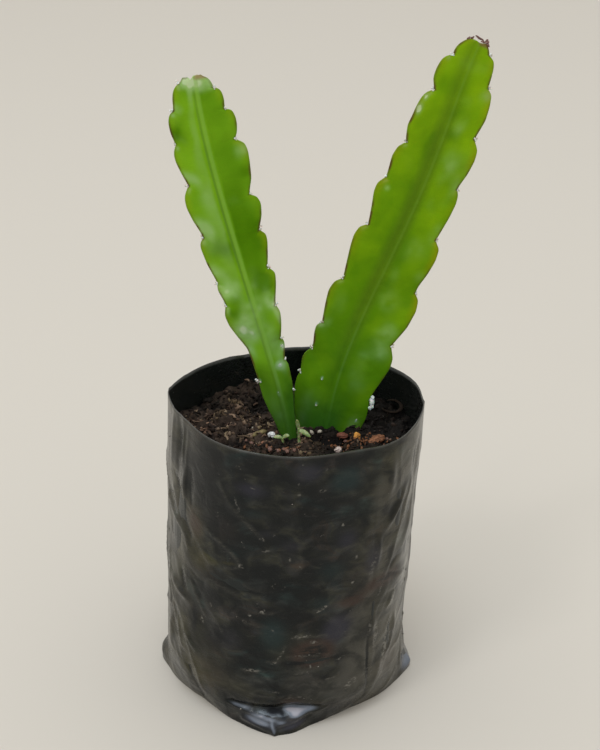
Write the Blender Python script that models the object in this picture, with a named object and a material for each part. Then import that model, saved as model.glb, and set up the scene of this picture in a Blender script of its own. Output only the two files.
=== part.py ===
"""Two flat-stemmed cactus cuttings in a soft black nursery bag of potting mix.

Built in metres, +Z up, front toward -Y, the middle of the footprint at the origin
on the floor. Lengths below are in millimetres and are scaled once, in add_mesh.
"""
import math
import bpy
import bmesh
import numpy as np
from mathutils import Vector, Matrix

MM = 0.001

# bag: an 18 cm flat-width bag, opened to a round body on a folded square base
BAG_RADIUS = 57.3
RIM_HEIGHT = 141.0
RIM_DRIFT = 4.9            # the rim's centre lies this far toward +X of the base
FILM = 1.0                 # wall of the stand-in film, the real one is far thinner
SECTORS = 72
OUTER_ROWS = (0, 1.4, 3, 4.8, 6.6, 8.4, 10.4, 13, 17, 22, 29, 42, 58, 76, 94, 110, 124, 134, 141)
INNER_ROWS = (1.0, 5, 9, 14, 22, 42, 80, 122, 141)
# radius of the base outline against azimuth in degrees, four pinched corners
BASE_OUTLINE = ((-188, 58), (-184, 61), (-179, 60.5), (-171, 57.2), (-162, 55.1), (-151, 52.4),
                (-139, 50.5), (-128, 51.4), (-117, 54), (-111, 55.2), (-104, 57.4), (-98, 59.2),
                (-92, 59.6), (-86, 58.2), (-78, 54), (-66, 51), (-54, 50), (-44, 51.4), (-35, 53.3),
                (-22, 55.9), (-14, 58.3), (-7, 61), (0, 59.6), (8, 55.6), (18, 53), (34, 50.8),
                (48, 51), (62, 53.5), (72, 57), (82, 60.6), (92, 57.6), (104, 54), (120, 51),
                (136, 50.6), (150, 53), (162, 56))
# radius of the rim about its own centre, the same film bent into a loose circle
RIM_OUTLINE = ((-178, 56.5), (-168, 55), (-158, 54.5), (-148, 54.3), (-137, 55.4), (-125, 56.7),
               (-115, 57.8), (-102, 58.1), (-91, 58.9), (-84, 59.2), (-70, 58.9), (-62, 58.9),
               (-51, 60.3), (-42, 60.4), (-31, 59.2), (-19, 58.1), (-11, 57.6), (-1, 56.4),
               (12, 56), (26, 55.7), (35, 54.7), (60, 55.2), (83, 56), (95, 55.9), (117, 53.8),
               (134, 53.8), (154, 55.6), (168, 57), (176, 57.8))
# broad soft dents in the film: azimuth, height, half width in degrees, half height, depth
DENTS = ((-150, 84, 16, 17, -0.9), (-120, 60, 14, 20, 0.8), (-84, 98, 18, 14, 0.7),
         (-66, 46, 12, 16, -1.0), (-36, 70, 12, 22, 0.8), (-18, 104, 12, 18, -0.8),
         (-140, 36, 15, 12, 0.9), (-100, 30, 12, 9, -0.8), (20, 58, 18, 22, 0.9),
         (55, 96, 18, 20, -0.8), (96, 52, 16, 18, -0.9), (140, 92, 16, 20, 0.9),
         (160, 44, 14, 16, -0.9), (-170, 112, 14, 12, 0.7), (-4, 34, 24, 20, -2.6),
         (-4, 76, 24, 24, -1.6))

# potting mix
SOIL_LEVEL = 122.0
SOIL_GAP = 0.4
SOIL_RINGS = 14
SOIL_SIDE = (80, 42, 22, 14, 9, 5, 1.5)
CRUMBS = 150
HEAPS = ((-30.5, 43.3, 9, 3.0), (-19.1, 48.0, 7, 3.6), (-44, 12, 10, 2.2), (44, 26, 10, 1.8),
         (-34, -32, 9, 1.6), (14, 44, 9, 1.6), (-52, -4, 6, 2.2))

# stems: x of the midrib is a polynomial of (z - 200) / 100, y leans with height.
# Margins are (distance along the midrib from the soil, distance out, 1 at a notch)
STEMS = {
    "stem_left": {
        "curve": (3.122, -0.592, 3.92, 1.394, -26.891, -16.445),
        "plane": -4.0, "lean": -6.0, "fold": 0.13, "z": (86.0, 284.6),
        "left": ((-34, -1.4), (-28, -2.2), (-15, -3.3), (-5, -4.0), (3.3, -4.4), (8.6, -5.4),
                 (14.4, -6.8), (21.6, -8.1), (30.0, -8.1, 1), (36.3, -8.2), (45.9, -8.8),
                 (52.3, -11.4), (58.7, -13.4), (64.0, -13.9), (69.0, -12.1, 1), (70.8, -12.3),
                 (75.7, -13.6), (78.6, -13.0, 1), (79.6, -12.9), (87.7, -14.7), (95.8, -15.2),
                 (98.4, -14.6), (100.0, -12.8, 1), (102.2, -12.9), (108.5, -14.7),
                 (114.5, -15.8), (118.5, -15.5), (121.2, -14.1), (123.1, -12.4, 1),
                 (128.8, -14.0), (133.8, -15.1), (137.0, -15.0), (138.7, -14.4),
                 (140.7, -13.1, 1), (141.6, -13.3), (145.4, -14.1), (148.5, -14.1),
                 (150.5, -13.9), (153.1, -12.9), (154.1, -11.2, 1), (155.0, -10.8),
                 (158.6, -10.5), (161.7, -9.8), (164.2, -7.9), (164.6, -6.6, 1), (165.4, -6.0),
                 (167.4, -3.4)),
        "right": ((-34, 1.4), (-28, 2.0), (-15, 2.5), (-5, 2.7), (4.2, 3.5), (11.1, 4.1),
                  (16.2, 4.8), (22.3, 5.8, 1), (25.1, 6.3), (30.6, 6.6), (35.4, 6.8),
                  (37.3, 5.8, 1), (43.9, 7.5), (46.3, 7.8), (47.6, 6.7, 1), (52.0, 8.2),
                  (56.1, 9.3), (60.3, 9.9), (63.3, 8.8, 1), (65.6, 9.3), (72.4, 11.5),
                  (77.4, 12.5), (80.8, 10.0, 1), (84.8, 11.3), (91.9, 13.1), (95.4, 13.3),
                  (97.6, 11.0, 1), (103.7, 13.8), (109.0, 14.9), (112.4, 14.0),
                  (113.9, 11.1, 1), (120.7, 13.8), (127.2, 14.7), (132.2, 15.1),
                  (135.8, 14.5), (138.7, 10.9, 1), (140.1, 12.2), (144.1, 13.2),
                  (147.7, 13.3), (151.1, 12.4), (151.9, 9.6, 1), (155.7, 10.1),
                  (158.7, 9.8), (160.9, 8.8), (161.4, 6.5, 1), (163.4, 6.5), (166.0, 4.9),
                  (167.3, 1.7)),
        "core": 1.15, "neck": 0.9, "rib": 0.55, "rows": 62,
        "wool": (), "scraps": ()},
    "stem_right": {
        "curve": (7.681, 6.702, -19.817, -0.356, 44.392, 44.415),
        "plane": 4.0, "lean": 8.0, "fold": -0.06, "z": (85.0, 297.5),
        "left": ((-35, -3.0), (-28, -7.0), (-15, -11.0), (-6, -13.2), (0.9, -14.2),
                 (9.4, -16.4), (17.8, -18.0), (21.6, -18.2), (24.8, -17.4, 1), (26.6, -17.5),
                 (30.8, -18.4), (33.5, -17.9), (36.4, -15.6, 1), (38.6, -15.9), (43.5, -17.3),
                 (47.0, -17.7), (48.7, -15.8, 1), (57.8, -17.9), (63.0, -18.8), (67.3, -17.9),
                 (69.7, -15.0, 1), (77.3, -16.7), (84.5, -18.3), (89.8, -19.1), (94.1, -18.4),
                 (96.3, -15.4, 1), (104.9, -17.4), (110.7, -18.9), (114.7, -18.9),
                 (118.4, -16.3, 1), (123.4, -16.9), (128.2, -17.5), (132.8, -16.6),
                 (135.5, -14.0, 1), (138.0, -15.0), (143.0, -16.1), (146.6, -15.6),
                 (150.8, -15.3), (154.9, -14.6), (157.8, -13.2), (159.5, -10.4, 1),
                 (163.9, -12.5), (167.9, -12.6), (171.8, -11.9), (173.9, -10.3),
                 (174.6, -8.2, 1), (176.8, -8.6), (179.3, -7.9), (182.2, -5.6), (183.2, -3.6)),
        "right": ((-35, 3.0), (-28, 6.5), (-15, 10.5), (-6, 13.0), (0.8, 14.9), (8.0, 16.8),
                  (14.0, 16.9), (18.4, 16.2, 1), (23.3, 17.3), (31.6, 19.5), (38.4, 20.6),
                  (43.5, 20.0), (49.1, 17.0, 1), (60.1, 20.2), (68.4, 20.8), (73.7, 19.5),
                  (75.8, 16.8, 1), (79.3, 16.7), (86.0, 17.8), (93.1, 18.2), (98.3, 17.4),
                  (100.9, 14.4, 1), (112.2, 15.8), (118.1, 16.1), (122.0, 15.4),
                  (123.7, 14.0, 1), (125.3, 14.1), (131.2, 15.5), (137.4, 16.1),
                  (141.9, 15.6), (145.6, 12.7, 1), (154.2, 14.4), (160.2, 14.1),
                  (165.0, 13.1), (166.8, 10.7, 1), (170.9, 10.4), (175.6, 9.7),
                  (178.6, 8.5), (179.8, 5.8, 1), (182.2, 4.7), (183.9, 2.5)),
        "core": 1.2, "neck": 0.5, "rib": -0.1, "rows": 64,
        "wool": ((17.6, 16.9, 2.6, 1.3), (20.2, 16.6, 1.7, 1.1)),
        "scraps": ((183.6, -3.4, 2.2, 0.8), (184.2, -0.8, 2.4, 0.8), (184.2, 2.4, 1.5, 1.1))}}
MARGIN_HALF = 0.6
HOLE_ROWS = 8
AREOLE = 0.85

# pale shoots at the stems' foot: tubes (points, radius) and leaves (from, to, width)
SPROUTS = {
    "sprout_right": {
        "tubes": ((((6.6, -9.4, 117.0), (6.5, -9.6, 123.5), (6.3, -9.8, 129.5)), 0.75),),
        "leaves": (((6.3, -9.8, 128.6), (5.0, -10.4, 134.6), 2.4),
                   ((6.2, -9.9, 129.3), (12.2, -11.4, 126.8), 3.0))},
    "sprout_left": {
        "tubes": ((((-0.9, -10.6, 117.0), (-0.9, -10.8, 122.5), (-0.8, -10.9, 126.2)), 0.75),),
        "leaves": (((-0.9, -10.9, 125.8), (-4.9, -11.8, 127.6), 2.2),
                   ((-0.9, -10.9, 125.8), (2.6, -11.9, 128.2), 2.4))}}

# loose bits bedded in the surface: place, half sizes, turn in degrees, tip, seed
CHIPS = {
    "bark_chip_1": ((-11.2, -2.6, 123.0), (5.4, 1.7, 1.3), 56, 8, 11),
    "bark_chip_2": ((26.0, -5.2, 123.2), (2.9, 1.9, 1.5), 14, 10, 12),
    "bark_chip_3": ((32.4, -6.4, 123.4), (2.0, 1.6, 1.8), 70, 0, 13),
    "bark_chip_4": ((41.2, -9.6, 123.3), (4.6, 2.5, 1.8), 32, -8, 14),
    "perlite_grain_1": ((-5.9, -5.0, 123.4), (1.8, 1.5, 1.6), 20, 0, 15),
    "perlite_grain_2": ((23.6, -19.0, 123.1), (1.9, 1.6, 1.5), 60, 0, 16)}
SEAT = 0.35


def material(name, colour, roughness, coat=0.0, subsurface=0.0):
    mat = bpy.data.materials.new(name)
    mat.use_nodes = True
    shader = mat.node_tree.nodes["Principled BSDF"]
    shader.inputs["Base Color"].default_value = (*colour, 1.0)
    shader.inputs["Roughness"].default_value = roughness
    shader.inputs["Coat Weight"].default_value = coat
    shader.inputs["Subsurface Weight"].default_value = subsurface
    shader.inputs["Subsurface Radius"].default_value = (0.002, 0.003, 0.001)
    mat.diffuse_color = (*colour, 1.0)
    return mat


def add_mesh(name, points, faces, mat=None):
    mesh = bpy.data.meshes.new(name)
    mesh.from_pydata([tuple(float(c) * MM for c in p) for p in points], [], faces)
    bm = bmesh.new()
    bm.from_mesh(mesh)
    bmesh.ops.triangulate(bm, faces=[f for f in bm.faces if len(f.verts) > 3])
    bmesh.ops.recalc_face_normals(bm, faces=bm.faces)
    bm.to_mesh(mesh)
    bm.free()
    obj = bpy.data.objects.new(name, mesh)
    bpy.context.scene.collection.objects.link(obj)
    if mat is not None:
        mesh.materials.append(mat)
    return obj


def apply_boolean(target, tool, operation, solver="EXACT"):
    mod = target.modifiers.new("cut", "BOOLEAN")
    mod.operation = operation
    mod.solver = solver
    if isinstance(tool, bpy.types.Collection):
        mod.operand_type = "COLLECTION"
        mod.collection = tool
    else:
        mod.object = tool
    depsgraph = bpy.context.evaluated_depsgraph_get()
    done = bpy.data.meshes.new_from_object(target.evaluated_get(depsgraph))
    target.modifiers.clear()
    old = target.data
    target.data = done
    done.name = target.name
    bpy.data.meshes.remove(old)


def drop(objects):
    for obj in objects:
        mesh = obj.data
        bpy.data.objects.remove(obj, do_unlink=True)
        bpy.data.meshes.remove(mesh)


def fuse(target, pieces):
    group = bpy.data.collections.new("pieces")
    bpy.context.scene.collection.children.link(group)
    for piece in pieces:
        bpy.context.scene.collection.objects.unlink(piece)
        group.objects.link(piece)
    apply_boolean(target, group, "UNION", "MANIFOLD")
    drop(pieces)
    bpy.data.collections.remove(group)


def lookup(table, degrees):
    # periodic table of azimuth and radius, smoothed with a cosine between the entries
    az = np.array([row[0] for row in table], float)
    value = np.array([row[1] for row in table], float)
    az = np.concatenate([az - 360, az, az + 360])
    value = np.tile(value, 3)
    fine = np.arange(-540, 541, 1.0)
    dense = np.interp(fine, az, value)
    dense = (np.roll(dense, 1) + 2 * dense + np.roll(dense, -1)) / 4
    return np.interp(degrees, fine, dense)


def wrap(degrees):
    return (degrees + 180) % 360 - 180


def bag_radius(az, z, inner):
    # body circle easing into the rim outline, less the rounded foot, plus the corners
    up = np.clip((z - 58) / 80, 0, 1)
    up = up * up * (3 - 2 * up)
    body = BAG_RADIUS + (lookup(RIM_OUTLINE, az) - BAG_RADIUS) * up
    for a0, z0, wa, wz, depth in DENTS:
        body = body + depth * np.exp(-(wrap(az - a0) / wa) ** 2 - ((z - z0) / wz) ** 2)
    foot = lookup(BASE_OUTLINE, az) - BAG_RADIUS
    rounding = (1 - np.clip(z / 24, 0, 1)) ** 2
    pinch = np.exp(-((z - 9.4) / 3.6) ** 2) * np.exp(-(wrap(az + 96) / 19) ** 2)
    radius = body + np.minimum(foot, 0) * rounding
    if inner:
        return radius - FILM - 6.6 * np.exp(-((z - 9.0) / 5.0) ** 2) * np.exp(-(wrap(az + 96) / 24) ** 2)
    # the left corner's ear stands up a little higher than the others
    ear = np.clip((z - 1.5 - 2.5 * np.exp(-(wrap(az + 184) / 14) ** 2)) / 8, 0, 1)
    ear = 1 - ear * ear * (3 - 2 * ear)
    return radius + np.maximum(foot, 0) * ear - 4.6 * pinch


def bag_point(az, z, inner=False, less=0.0):
    radius = bag_radius(az, z, inner) - less
    turn = np.radians(az)
    return np.stack([RIM_DRIFT * z / RIM_HEIGHT + radius * np.cos(turn), radius * np.sin(turn), z], -1)


def wall_point(az, z):
    # the bag's faceted inner wall, drawn in by the gap left for the filling
    corner = np.arange(SECTORS + 1) * 360.0 / SECTORS - 180
    k = int(np.clip(np.searchsorted(INNER_ROWS, z) - 1, 0, len(INNER_ROWS) - 2))
    low, high = (bag_point(corner, np.full(SECTORS + 1, float(h)), True, SOIL_GAP)
                 for h in INNER_ROWS[k:k + 2])
    share = (z - INNER_ROWS[k]) / (INNER_ROWS[k + 1] - INNER_ROWS[k])
    ring = low + (high - low) * share
    return np.stack([np.interp(az, corner, ring[:, i]) for i in range(3)], -1)


def rim_wave(az):
    turn = np.radians(az)
    return 0.5 * np.sin(2 * turn + 0.6) + 0.35 * np.sin(5 * turn + 1.9) + 0.2 * np.sin(9 * turn)


def band(first, second, count):
    return [(first + i, first + (i + 1) % count, second + (i + 1) % count, second + i)
            for i in range(count)]


def build_bag():
    az = np.arange(SECTORS) * 360.0 / SECTORS - 180
    rings = [bag_point(az, np.full(SECTORS, float(z)) + rim_wave(az) * (z / RIM_HEIGHT) ** 6)
             for z in OUTER_ROWS]
    rings += [bag_point(az, np.full(SECTORS, float(z)) + rim_wave(az) * (z / RIM_HEIGHT) ** 6, True)
              for z in reversed(INNER_ROWS)]
    points = np.concatenate(rings + [np.array([[7.3, 4.1, 0.0], [0, 0, INNER_ROWS[0]]])])
    faces = []
    for k in range(len(rings) - 1):
        faces += band(k * SECTORS, (k + 1) * SECTORS, SECTORS)
    low, high = len(rings) * SECTORS, len(rings) * SECTORS + 1
    last = (len(rings) - 1) * SECTORS
    faces += [(low, (i + 1) % SECTORS, i) for i in range(SECTORS)]
    faces += [(high, last + i, last + (i + 1) % SECTORS) for i in range(SECTORS)]
    film = material("bag_film", (0.018, 0.02, 0.021), 0.32, 0.3)
    return add_mesh("grow_bag", points, faces, film)


def soil_height(x, y, crumbs):
    # flat level plus heaps and crumbs, each a rounded dome; calm beside the shoots
    z = np.full_like(x, SOIL_LEVEL) - 1.0 * (np.hypot(x - 4, y) / 55) ** 6
    for hx, hy, size, high in HEAPS:
        z = z + high * np.exp(-((x - hx) ** 2 + (y - hy) ** 2) / size ** 2)
    bumps = np.zeros_like(x)
    for cx, cy, size, high in crumbs:
        dome = 1 - ((x - cx) ** 2 + (y - cy) ** 2) / size ** 2
        bumps = np.maximum(bumps, high * np.sqrt(np.clip(dome, 0, 1)))
    calm = 1 - 0.85 * np.exp(-(((x - 2) / 11) ** 2 + ((y + 11) / 6) ** 2))
    return z + bumps * calm


def build_soil():
    rng = np.random.default_rng(407)
    crumbs = np.column_stack([4 + rng.uniform(-56, 56, CRUMBS), rng.uniform(-56, 56, CRUMBS),
                              rng.uniform(2.2, 5.2, CRUMBS), rng.uniform(0.7, 2.7, CRUMBS)])
    points, starts = [np.array([[4.2, 0.0, SOIL_LEVEL]])], [0]
    edge_z = SOIL_LEVEL - 0.6
    for n in range(1, SOIL_RINGS + 1):
        count = 6 * n
        az = np.arange(count) * 360.0 / count - 180
        edge = wall_point(az, edge_z)
        share = n / SOIL_RINGS
        x = 4.2 + (edge[:, 0] - 4.2) * share
        y = edge[:, 1] * share
        z = soil_height(x, y, crumbs)
        if n == SOIL_RINGS:
            z = np.clip(z, SOIL_LEVEL - 1.5, SOIL_LEVEL + 1.2)
        starts.append(starts[-1] + (1 if n == 1 else 6 * (n - 1)))
        points.append(np.column_stack([x, y, z]))
    points[0][0, 2] = float(soil_height(np.array([4.2]), np.array([0.0]), crumbs)[0])
    faces = []
    for n in range(1, SOIL_RINGS + 1):
        outer, inner = starts[n], starts[n - 1]
        for side in range(6):
            for k in range(n):
                a = outer + (side * n + k) % (6 * n)
                b = outer + (side * n + k + 1) % (6 * n)
                c = inner + ((side * (n - 1) + k) % (6 * (n - 1)) if n > 1 else 0)
                faces.append((a, b, c))
                if k < n - 1:
                    d = inner + (side * (n - 1) + k + 1) % (6 * (n - 1))
                    faces.append((b, d, c))
    count = 6 * SOIL_RINGS
    az = np.arange(count) * 360.0 / count - 180
    ring = starts[-1]
    total = sum(len(p) for p in points)
    for z in SOIL_SIDE:
        points.append(wall_point(az, z))
        faces += [(a, d, c, b) for a, b, c, d in band(ring, total, count)]
        ring = total
        total += count
    points.append(np.array([[0.0, 0.0, SOIL_SIDE[-1]]]))
    faces += [(total, ring + i, ring + (i + 1) % count) for i in range(count)]
    mix = material("potting_mix", (0.045, 0.026, 0.017), 0.95)
    return add_mesh("soil", np.concatenate(points), faces, mix)


class Midrib:
    """Curve of one stem with distance measured along it from the soil line."""

    def __init__(self, spec):
        self.spec = spec
        z = np.linspace(spec["z"][0] - 3, spec["z"][1] + 8, 3000)
        x = np.polyval(spec["curve"], (z - 200) / 100)
        rise = np.clip((z - SOIL_LEVEL) / 170, 0, None)
        y = spec["plane"] + spec["lean"] * rise ** 1.6
        s = np.concatenate([[0], np.cumsum(np.hypot(np.diff(x), np.diff(z)))])
        self.s = s - np.interp(SOIL_LEVEL, z, s)
        self.x, self.y, self.z = x, y, z
        self.tx, self.tz = np.gradient(x, s), np.gradient(z, s)

    def place(self, s, w, depth):
        # a point: along the rib, out across the blade, and through its thickness
        at = [np.interp(s, self.s, v) for v in (self.x, self.y, self.z, self.tx, self.tz)]
        wide = np.clip((s - 4) / 30, 0, 1)
        wave = 0.7 * np.sin(s / 7.3 + self.spec["plane"]) * np.clip(np.abs(w) / 16, 0, 1) ** 2
        bend = self.spec["fold"] * np.abs(w) * wide + wave * wide
        return np.stack([at[0] + w * at[4], at[1] + bend + depth, at[2] - w * at[3]], -1)


def margin_rows(table, rows):
    # walk the margin by length, moving the nearest sample onto each notch and its shoulder
    s = np.array([p[0] for p in table], float)
    w = np.array([p[1] for p in table], float)
    s = np.maximum.accumulate(s + np.arange(len(s)) * 1e-4)
    run = np.concatenate([[0], np.cumsum(np.hypot(np.diff(s), np.diff(w)))])
    at = np.linspace(0, run[-1], rows)
    for i, row in enumerate(table):
        if len(row) > 2:
            at[np.argmin(np.abs(at - run[i]))] = run[i]
    at.sort()
    return np.interp(at, run, s), np.interp(at, run, w)


def half_thickness(spec, s, w, wide):
    # thick at the rib, thin at the margin, rounder toward the neck, a raised or sunk rib line
    share = np.clip(np.abs(w) / np.maximum(wide, 1e-6), 0, 1)
    neck = np.clip(1 - (s + 2) / 34, 0, 1) ** 2
    half = MARGIN_HALF + (spec["core"] + spec["neck"] * neck - MARGIN_HALF) * (1 - share ** 1.6)
    return half + spec["rib"] * np.exp(-(w / 1.3) ** 2) * np.clip(wide / 4, 0, 1)


def build_blade(name, spec, mat=None, grow=0.0, top=None):
    rib = Midrib(spec)
    tables, rows = (spec["left"], spec["right"]), spec["rows"]
    if top is not None:
        tables, rows = [[row for row in table if row[0] < top] for table in tables], HOLE_ROWS
    ls, lw = margin_rows(tables[0], rows)
    rs, rw = margin_rows(tables[1], rows)
    ms = (ls + rs) / 2
    lw, rw = lw - grow, rw + grow
    if grow:
        ls, rs, ms = (np.concatenate([[v[0] - 2 * grow], v]) for v in (ls, rs, ms))
        lw, rw = (np.concatenate([[v[0]], v]) for v in (lw, rw))
    columns = []
    for side_s, side_w in ((ls, lw), (rs, rw)):
        wide = np.abs(side_w)
        line = np.minimum(1.5, wide * 0.3) / wide
        for share in (np.ones_like(wide), np.full_like(wide, 0.62), line):
            columns.append((ms + (side_s - ms) * share ** 2, side_w * share, wide))
    centre = (ms, np.zeros_like(ms), (np.abs(lw) + np.abs(rw)) / 2)
    across = columns[:3] + [centre] + columns[:2:-1]
    front, rear = [], []
    for s, w, wide in across:
        half = half_thickness(spec, s, w, wide) + grow
        front.append(rib.place(s, w, -half))
        rear.append(rib.place(s, w, half))
    loop = front + rear[::-1]
    rows, size, half = len(ms), len(loop), len(across)
    points = np.stack(loop, 1).reshape(-1, 3)
    faces = []
    for r in range(rows - 1):
        for k in range(size):
            a, b = r * size + k, r * size + (k + 1) % size
            c, d = b + size, a + size
            # the same diagonal on both faces of the blade
            if k < half - 1:
                faces += [(a, b, c), (a, c, d)]
            else:
                faces += [(a, b, d), (b, c, d)]
    for base in (0, (rows - 1) * size):
        for k in range(half - 1):
            a, b = base + k, base + k + 1
            c, d = base + size - 2 - k, base + size - 1 - k
            faces.append((a, b, c, d))
    return add_mesh(name, points, faces, mat), rib


def bead(name, centre, sizes, turn, detail=1, rough=0.0, seed=1, mat=None):
    # an icosphere stretched, roughened by seeded radial jitter and turned
    bm = bmesh.new()
    bmesh.ops.create_icosphere(bm, subdivisions=detail, radius=1.0)
    rng = np.random.default_rng(seed)
    for v in bm.verts:
        v.co *= 1 + rough * rng.uniform(-1, 1)
        v.co = turn @ Vector((v.co.x * sizes[0], v.co.y * sizes[1], v.co.z * sizes[2]))
        v.co = (v.co + Vector(centre)) * MM
    mesh = bpy.data.meshes.new(name)
    bm.to_mesh(mesh)
    bm.free()
    obj = bpy.data.objects.new(name, mesh)
    bpy.context.scene.collection.objects.link(obj)
    if mat is not None:
        mesh.materials.append(mat)
    return obj


def build_stem(name, spec, mat):
    stem, rib = build_blade(name, spec, mat)
    beads = []
    for side in ("left", "right"):
        for i, row in enumerate(spec[side]):
            if len(row) > 2 and row[0] > 4:
                inward = -0.35 if row[1] > 0 else 0.35
                spot = rib.place(np.array(row[0] + 0.1), np.array(row[1] + inward), 0.0)
                size = AREOLE * (1 + 0.12 * math.sin(5 * i))
                turn = Matrix.Rotation(0.4 * i, 3, "Y")
                beads.append(bead("areole", spot, (size * 0.85, size, size), turn))
    for k, (s, w, long, wide) in enumerate(spec["wool"] + spec["scraps"]):
        spot = rib.place(np.array(float(s)), np.array(float(w)), -0.1 if k % 2 else 0.1)
        if s > 100:
            turn, sizes = Matrix.Rotation(0.5 - 0.6 * k, 3, "Y"), (long, wide, wide * 0.9)
        else:
            turn, sizes = Matrix.Rotation(0.35, 3, "Y"), (wide, wide, long)
        beads.append(bead("tuft", spot, sizes, turn, 2 if s < 100 else 1, 0.08, 30 + k))
    fuse(stem, beads)
    return stem


def tube(name, path, radius, grow=0.0, sides=8, mat=None):
    rings, path = [], np.array(path, float)
    path[0, 2] -= grow
    turn = np.arange(sides) * 2 * np.pi / sides
    for k, p in enumerate(path):
        r = (radius + grow) * (1 - 0.12 * k)
        rings.append(p + np.stack([r * np.cos(turn), r * np.sin(turn), 0 * turn], -1))
    faces = []
    for k in range(len(rings) - 1):
        faces += band(k * sides, (k + 1) * sides, sides)
    faces += [tuple(range(sides))[::-1], tuple(range((len(rings) - 1) * sides, len(rings) * sides))]
    return add_mesh(name, np.concatenate(rings), faces, mat)


def build_sprout(name, spec, mat):
    path, radius = spec["tubes"][0]
    body = tube(name, path, radius, mat=mat)
    leaves = []
    for start, end, width in spec["leaves"]:
        a, b = Vector(start), Vector(end)
        long = (b - a).normalized()
        side = long.cross(Vector((0, 0, 1)) if abs(long.z) < 0.8 else Vector((1, 0, 0))).normalized()
        turn = Matrix((long, side, long.cross(side))).transposed()
        leaves.append(bead("leaf", (a + b) / 2, ((b - a).length / 2 + 0.5, width / 2, 0.55), turn, 2))
    fuse(body, leaves)
    return body


def main():
    for obj in list(bpy.data.objects):
        bpy.data.objects.remove(obj, do_unlink=True)
    build_bag()
    soil = build_soil()
    cutters = []
    for name, spec in STEMS.items():
        green = (0.17, 0.32, 0.022) if name == "stem_left" else (0.13, 0.27, 0.018)
        build_stem(name, spec, material(name + "_green", green, 0.38, 0.2, 0.15))
        cutters.append(build_blade("hole_" + name, spec, grow=SEAT, top=15.0)[0])
    for name, spec in SPROUTS.items():
        build_sprout(name, spec, material(name + "_green", (0.42, 0.45, 0.12), 0.5))
        path, radius = spec["tubes"][0]
        cutters.append(tube("hole_" + name, path, radius, SEAT))
    colours = {"bark_chip_1": (0.42, 0.27, 0.1), "bark_chip_2": (0.3, 0.09, 0.05),
               "bark_chip_3": (0.62, 0.2, 0.04), "bark_chip_4": (0.4, 0.17, 0.06),
               "perlite_grain_1": (0.62, 0.58, 0.5), "perlite_grain_2": (0.6, 0.46, 0.42)}
    for name, (place, sizes, turn, tip, seed) in CHIPS.items():
        matrix = Matrix.Rotation(math.radians(turn), 3, "Z") @ Matrix.Rotation(math.radians(tip), 3, "Y")
        bead(name, place, sizes, matrix, 2, 0.12, seed, material(name, colours[name], 0.8))
        cutters.append(bead("seat_" + name, place, [s + SEAT for s in sizes], matrix, 2, 0.12, seed))
    for cutter in cutters:
        cutter.hide_render = True
        cutter.display_type = "WIRE"
        apply_boolean(soil, cutter, "DIFFERENCE")
    drop(cutters)


main()
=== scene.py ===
# Potted night-blooming cactus: the finish of every surface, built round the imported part.
# Lengths in the dictionaries are millimetres, angles are degrees; makePiece turns them to metres.
import math
import bpy
import numpy as np
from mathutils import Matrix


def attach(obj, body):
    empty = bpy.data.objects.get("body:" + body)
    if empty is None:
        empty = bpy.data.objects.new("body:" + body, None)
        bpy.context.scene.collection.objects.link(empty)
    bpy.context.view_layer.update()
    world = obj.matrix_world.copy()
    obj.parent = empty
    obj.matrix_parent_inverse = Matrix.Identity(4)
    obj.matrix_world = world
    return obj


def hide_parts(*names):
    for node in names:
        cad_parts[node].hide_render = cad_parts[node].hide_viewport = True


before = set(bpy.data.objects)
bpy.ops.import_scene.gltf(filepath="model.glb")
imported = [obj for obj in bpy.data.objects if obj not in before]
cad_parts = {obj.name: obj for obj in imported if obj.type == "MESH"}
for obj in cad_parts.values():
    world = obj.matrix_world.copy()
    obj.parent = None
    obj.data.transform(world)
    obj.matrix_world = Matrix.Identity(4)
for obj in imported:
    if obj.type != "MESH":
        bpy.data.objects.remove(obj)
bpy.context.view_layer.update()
mm = 0.001
print("frame loaded:", len(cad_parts), "nodes")


# numbers on grids

def easeStep(low, high, x):
    # 0 below low, 1 above high, 3t^2 - 2t^3 between
    t = np.clip((x - low) / (high - low), 0, 1)
    return t * t * (3 - 2 * t)


def bump(x, middle, width):
    # a bell: e to the minus square of the distance over the width
    return np.exp(-((x - middle) / width) ** 2)


def turnGap(az, middle):
    # difference of two azimuths, between -180 and 180
    return (az - middle + 180) % 360 - 180


def roundBump(az, middle, width):
    # the bell of an azimuth's distance from the middle
    return bump(turnGap(az, middle), 0, width)


def latticeNoise(u, v, seed, wrap=256):
    # random heights on a whole-number lattice, eased between its corners, from -1 to 1;
    # wrap lattice cells along u make one full round
    table = np.random.default_rng(seed).uniform(-1, 1, (wrap, 256))
    iu, iv = np.floor(u).astype(int), np.floor(v).astype(int)
    fu, fv = u - iu, v - iv
    fu, fv = fu * fu * (3 - 2 * fu), fv * fv * (3 - 2 * fv)
    a, b = iu % wrap, (iu + 1) % wrap
    c, d = iv % 256, (iv + 1) % 256
    low = table[a, c] * (1 - fu) + table[b, c] * fu
    high = table[a, d] * (1 - fu) + table[b, d] * fu
    return low * (1 - fv) + high * fv


def roundNoise(az, v, seed, cells):
    # lattice noise with so many cells all the way round
    return latticeNoise(az / 360 * cells, v, seed, cells)


def layeredNoise(u, v, seed, layers=4):
    # lattice noise summed, each layer twice as fine and half as strong as the last
    return sum(latticeNoise(u * 2 ** k + 7.3 * k, v * 2 ** k + 3.1 * k, seed + k) / 2 ** k
               for k in range(layers))


def ridge(noise, sharp=1.0):
    # folds noise about zero, so its zero lines stand up as creases
    return np.clip(1 - np.abs(noise), 0, 1) ** sharp


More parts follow.
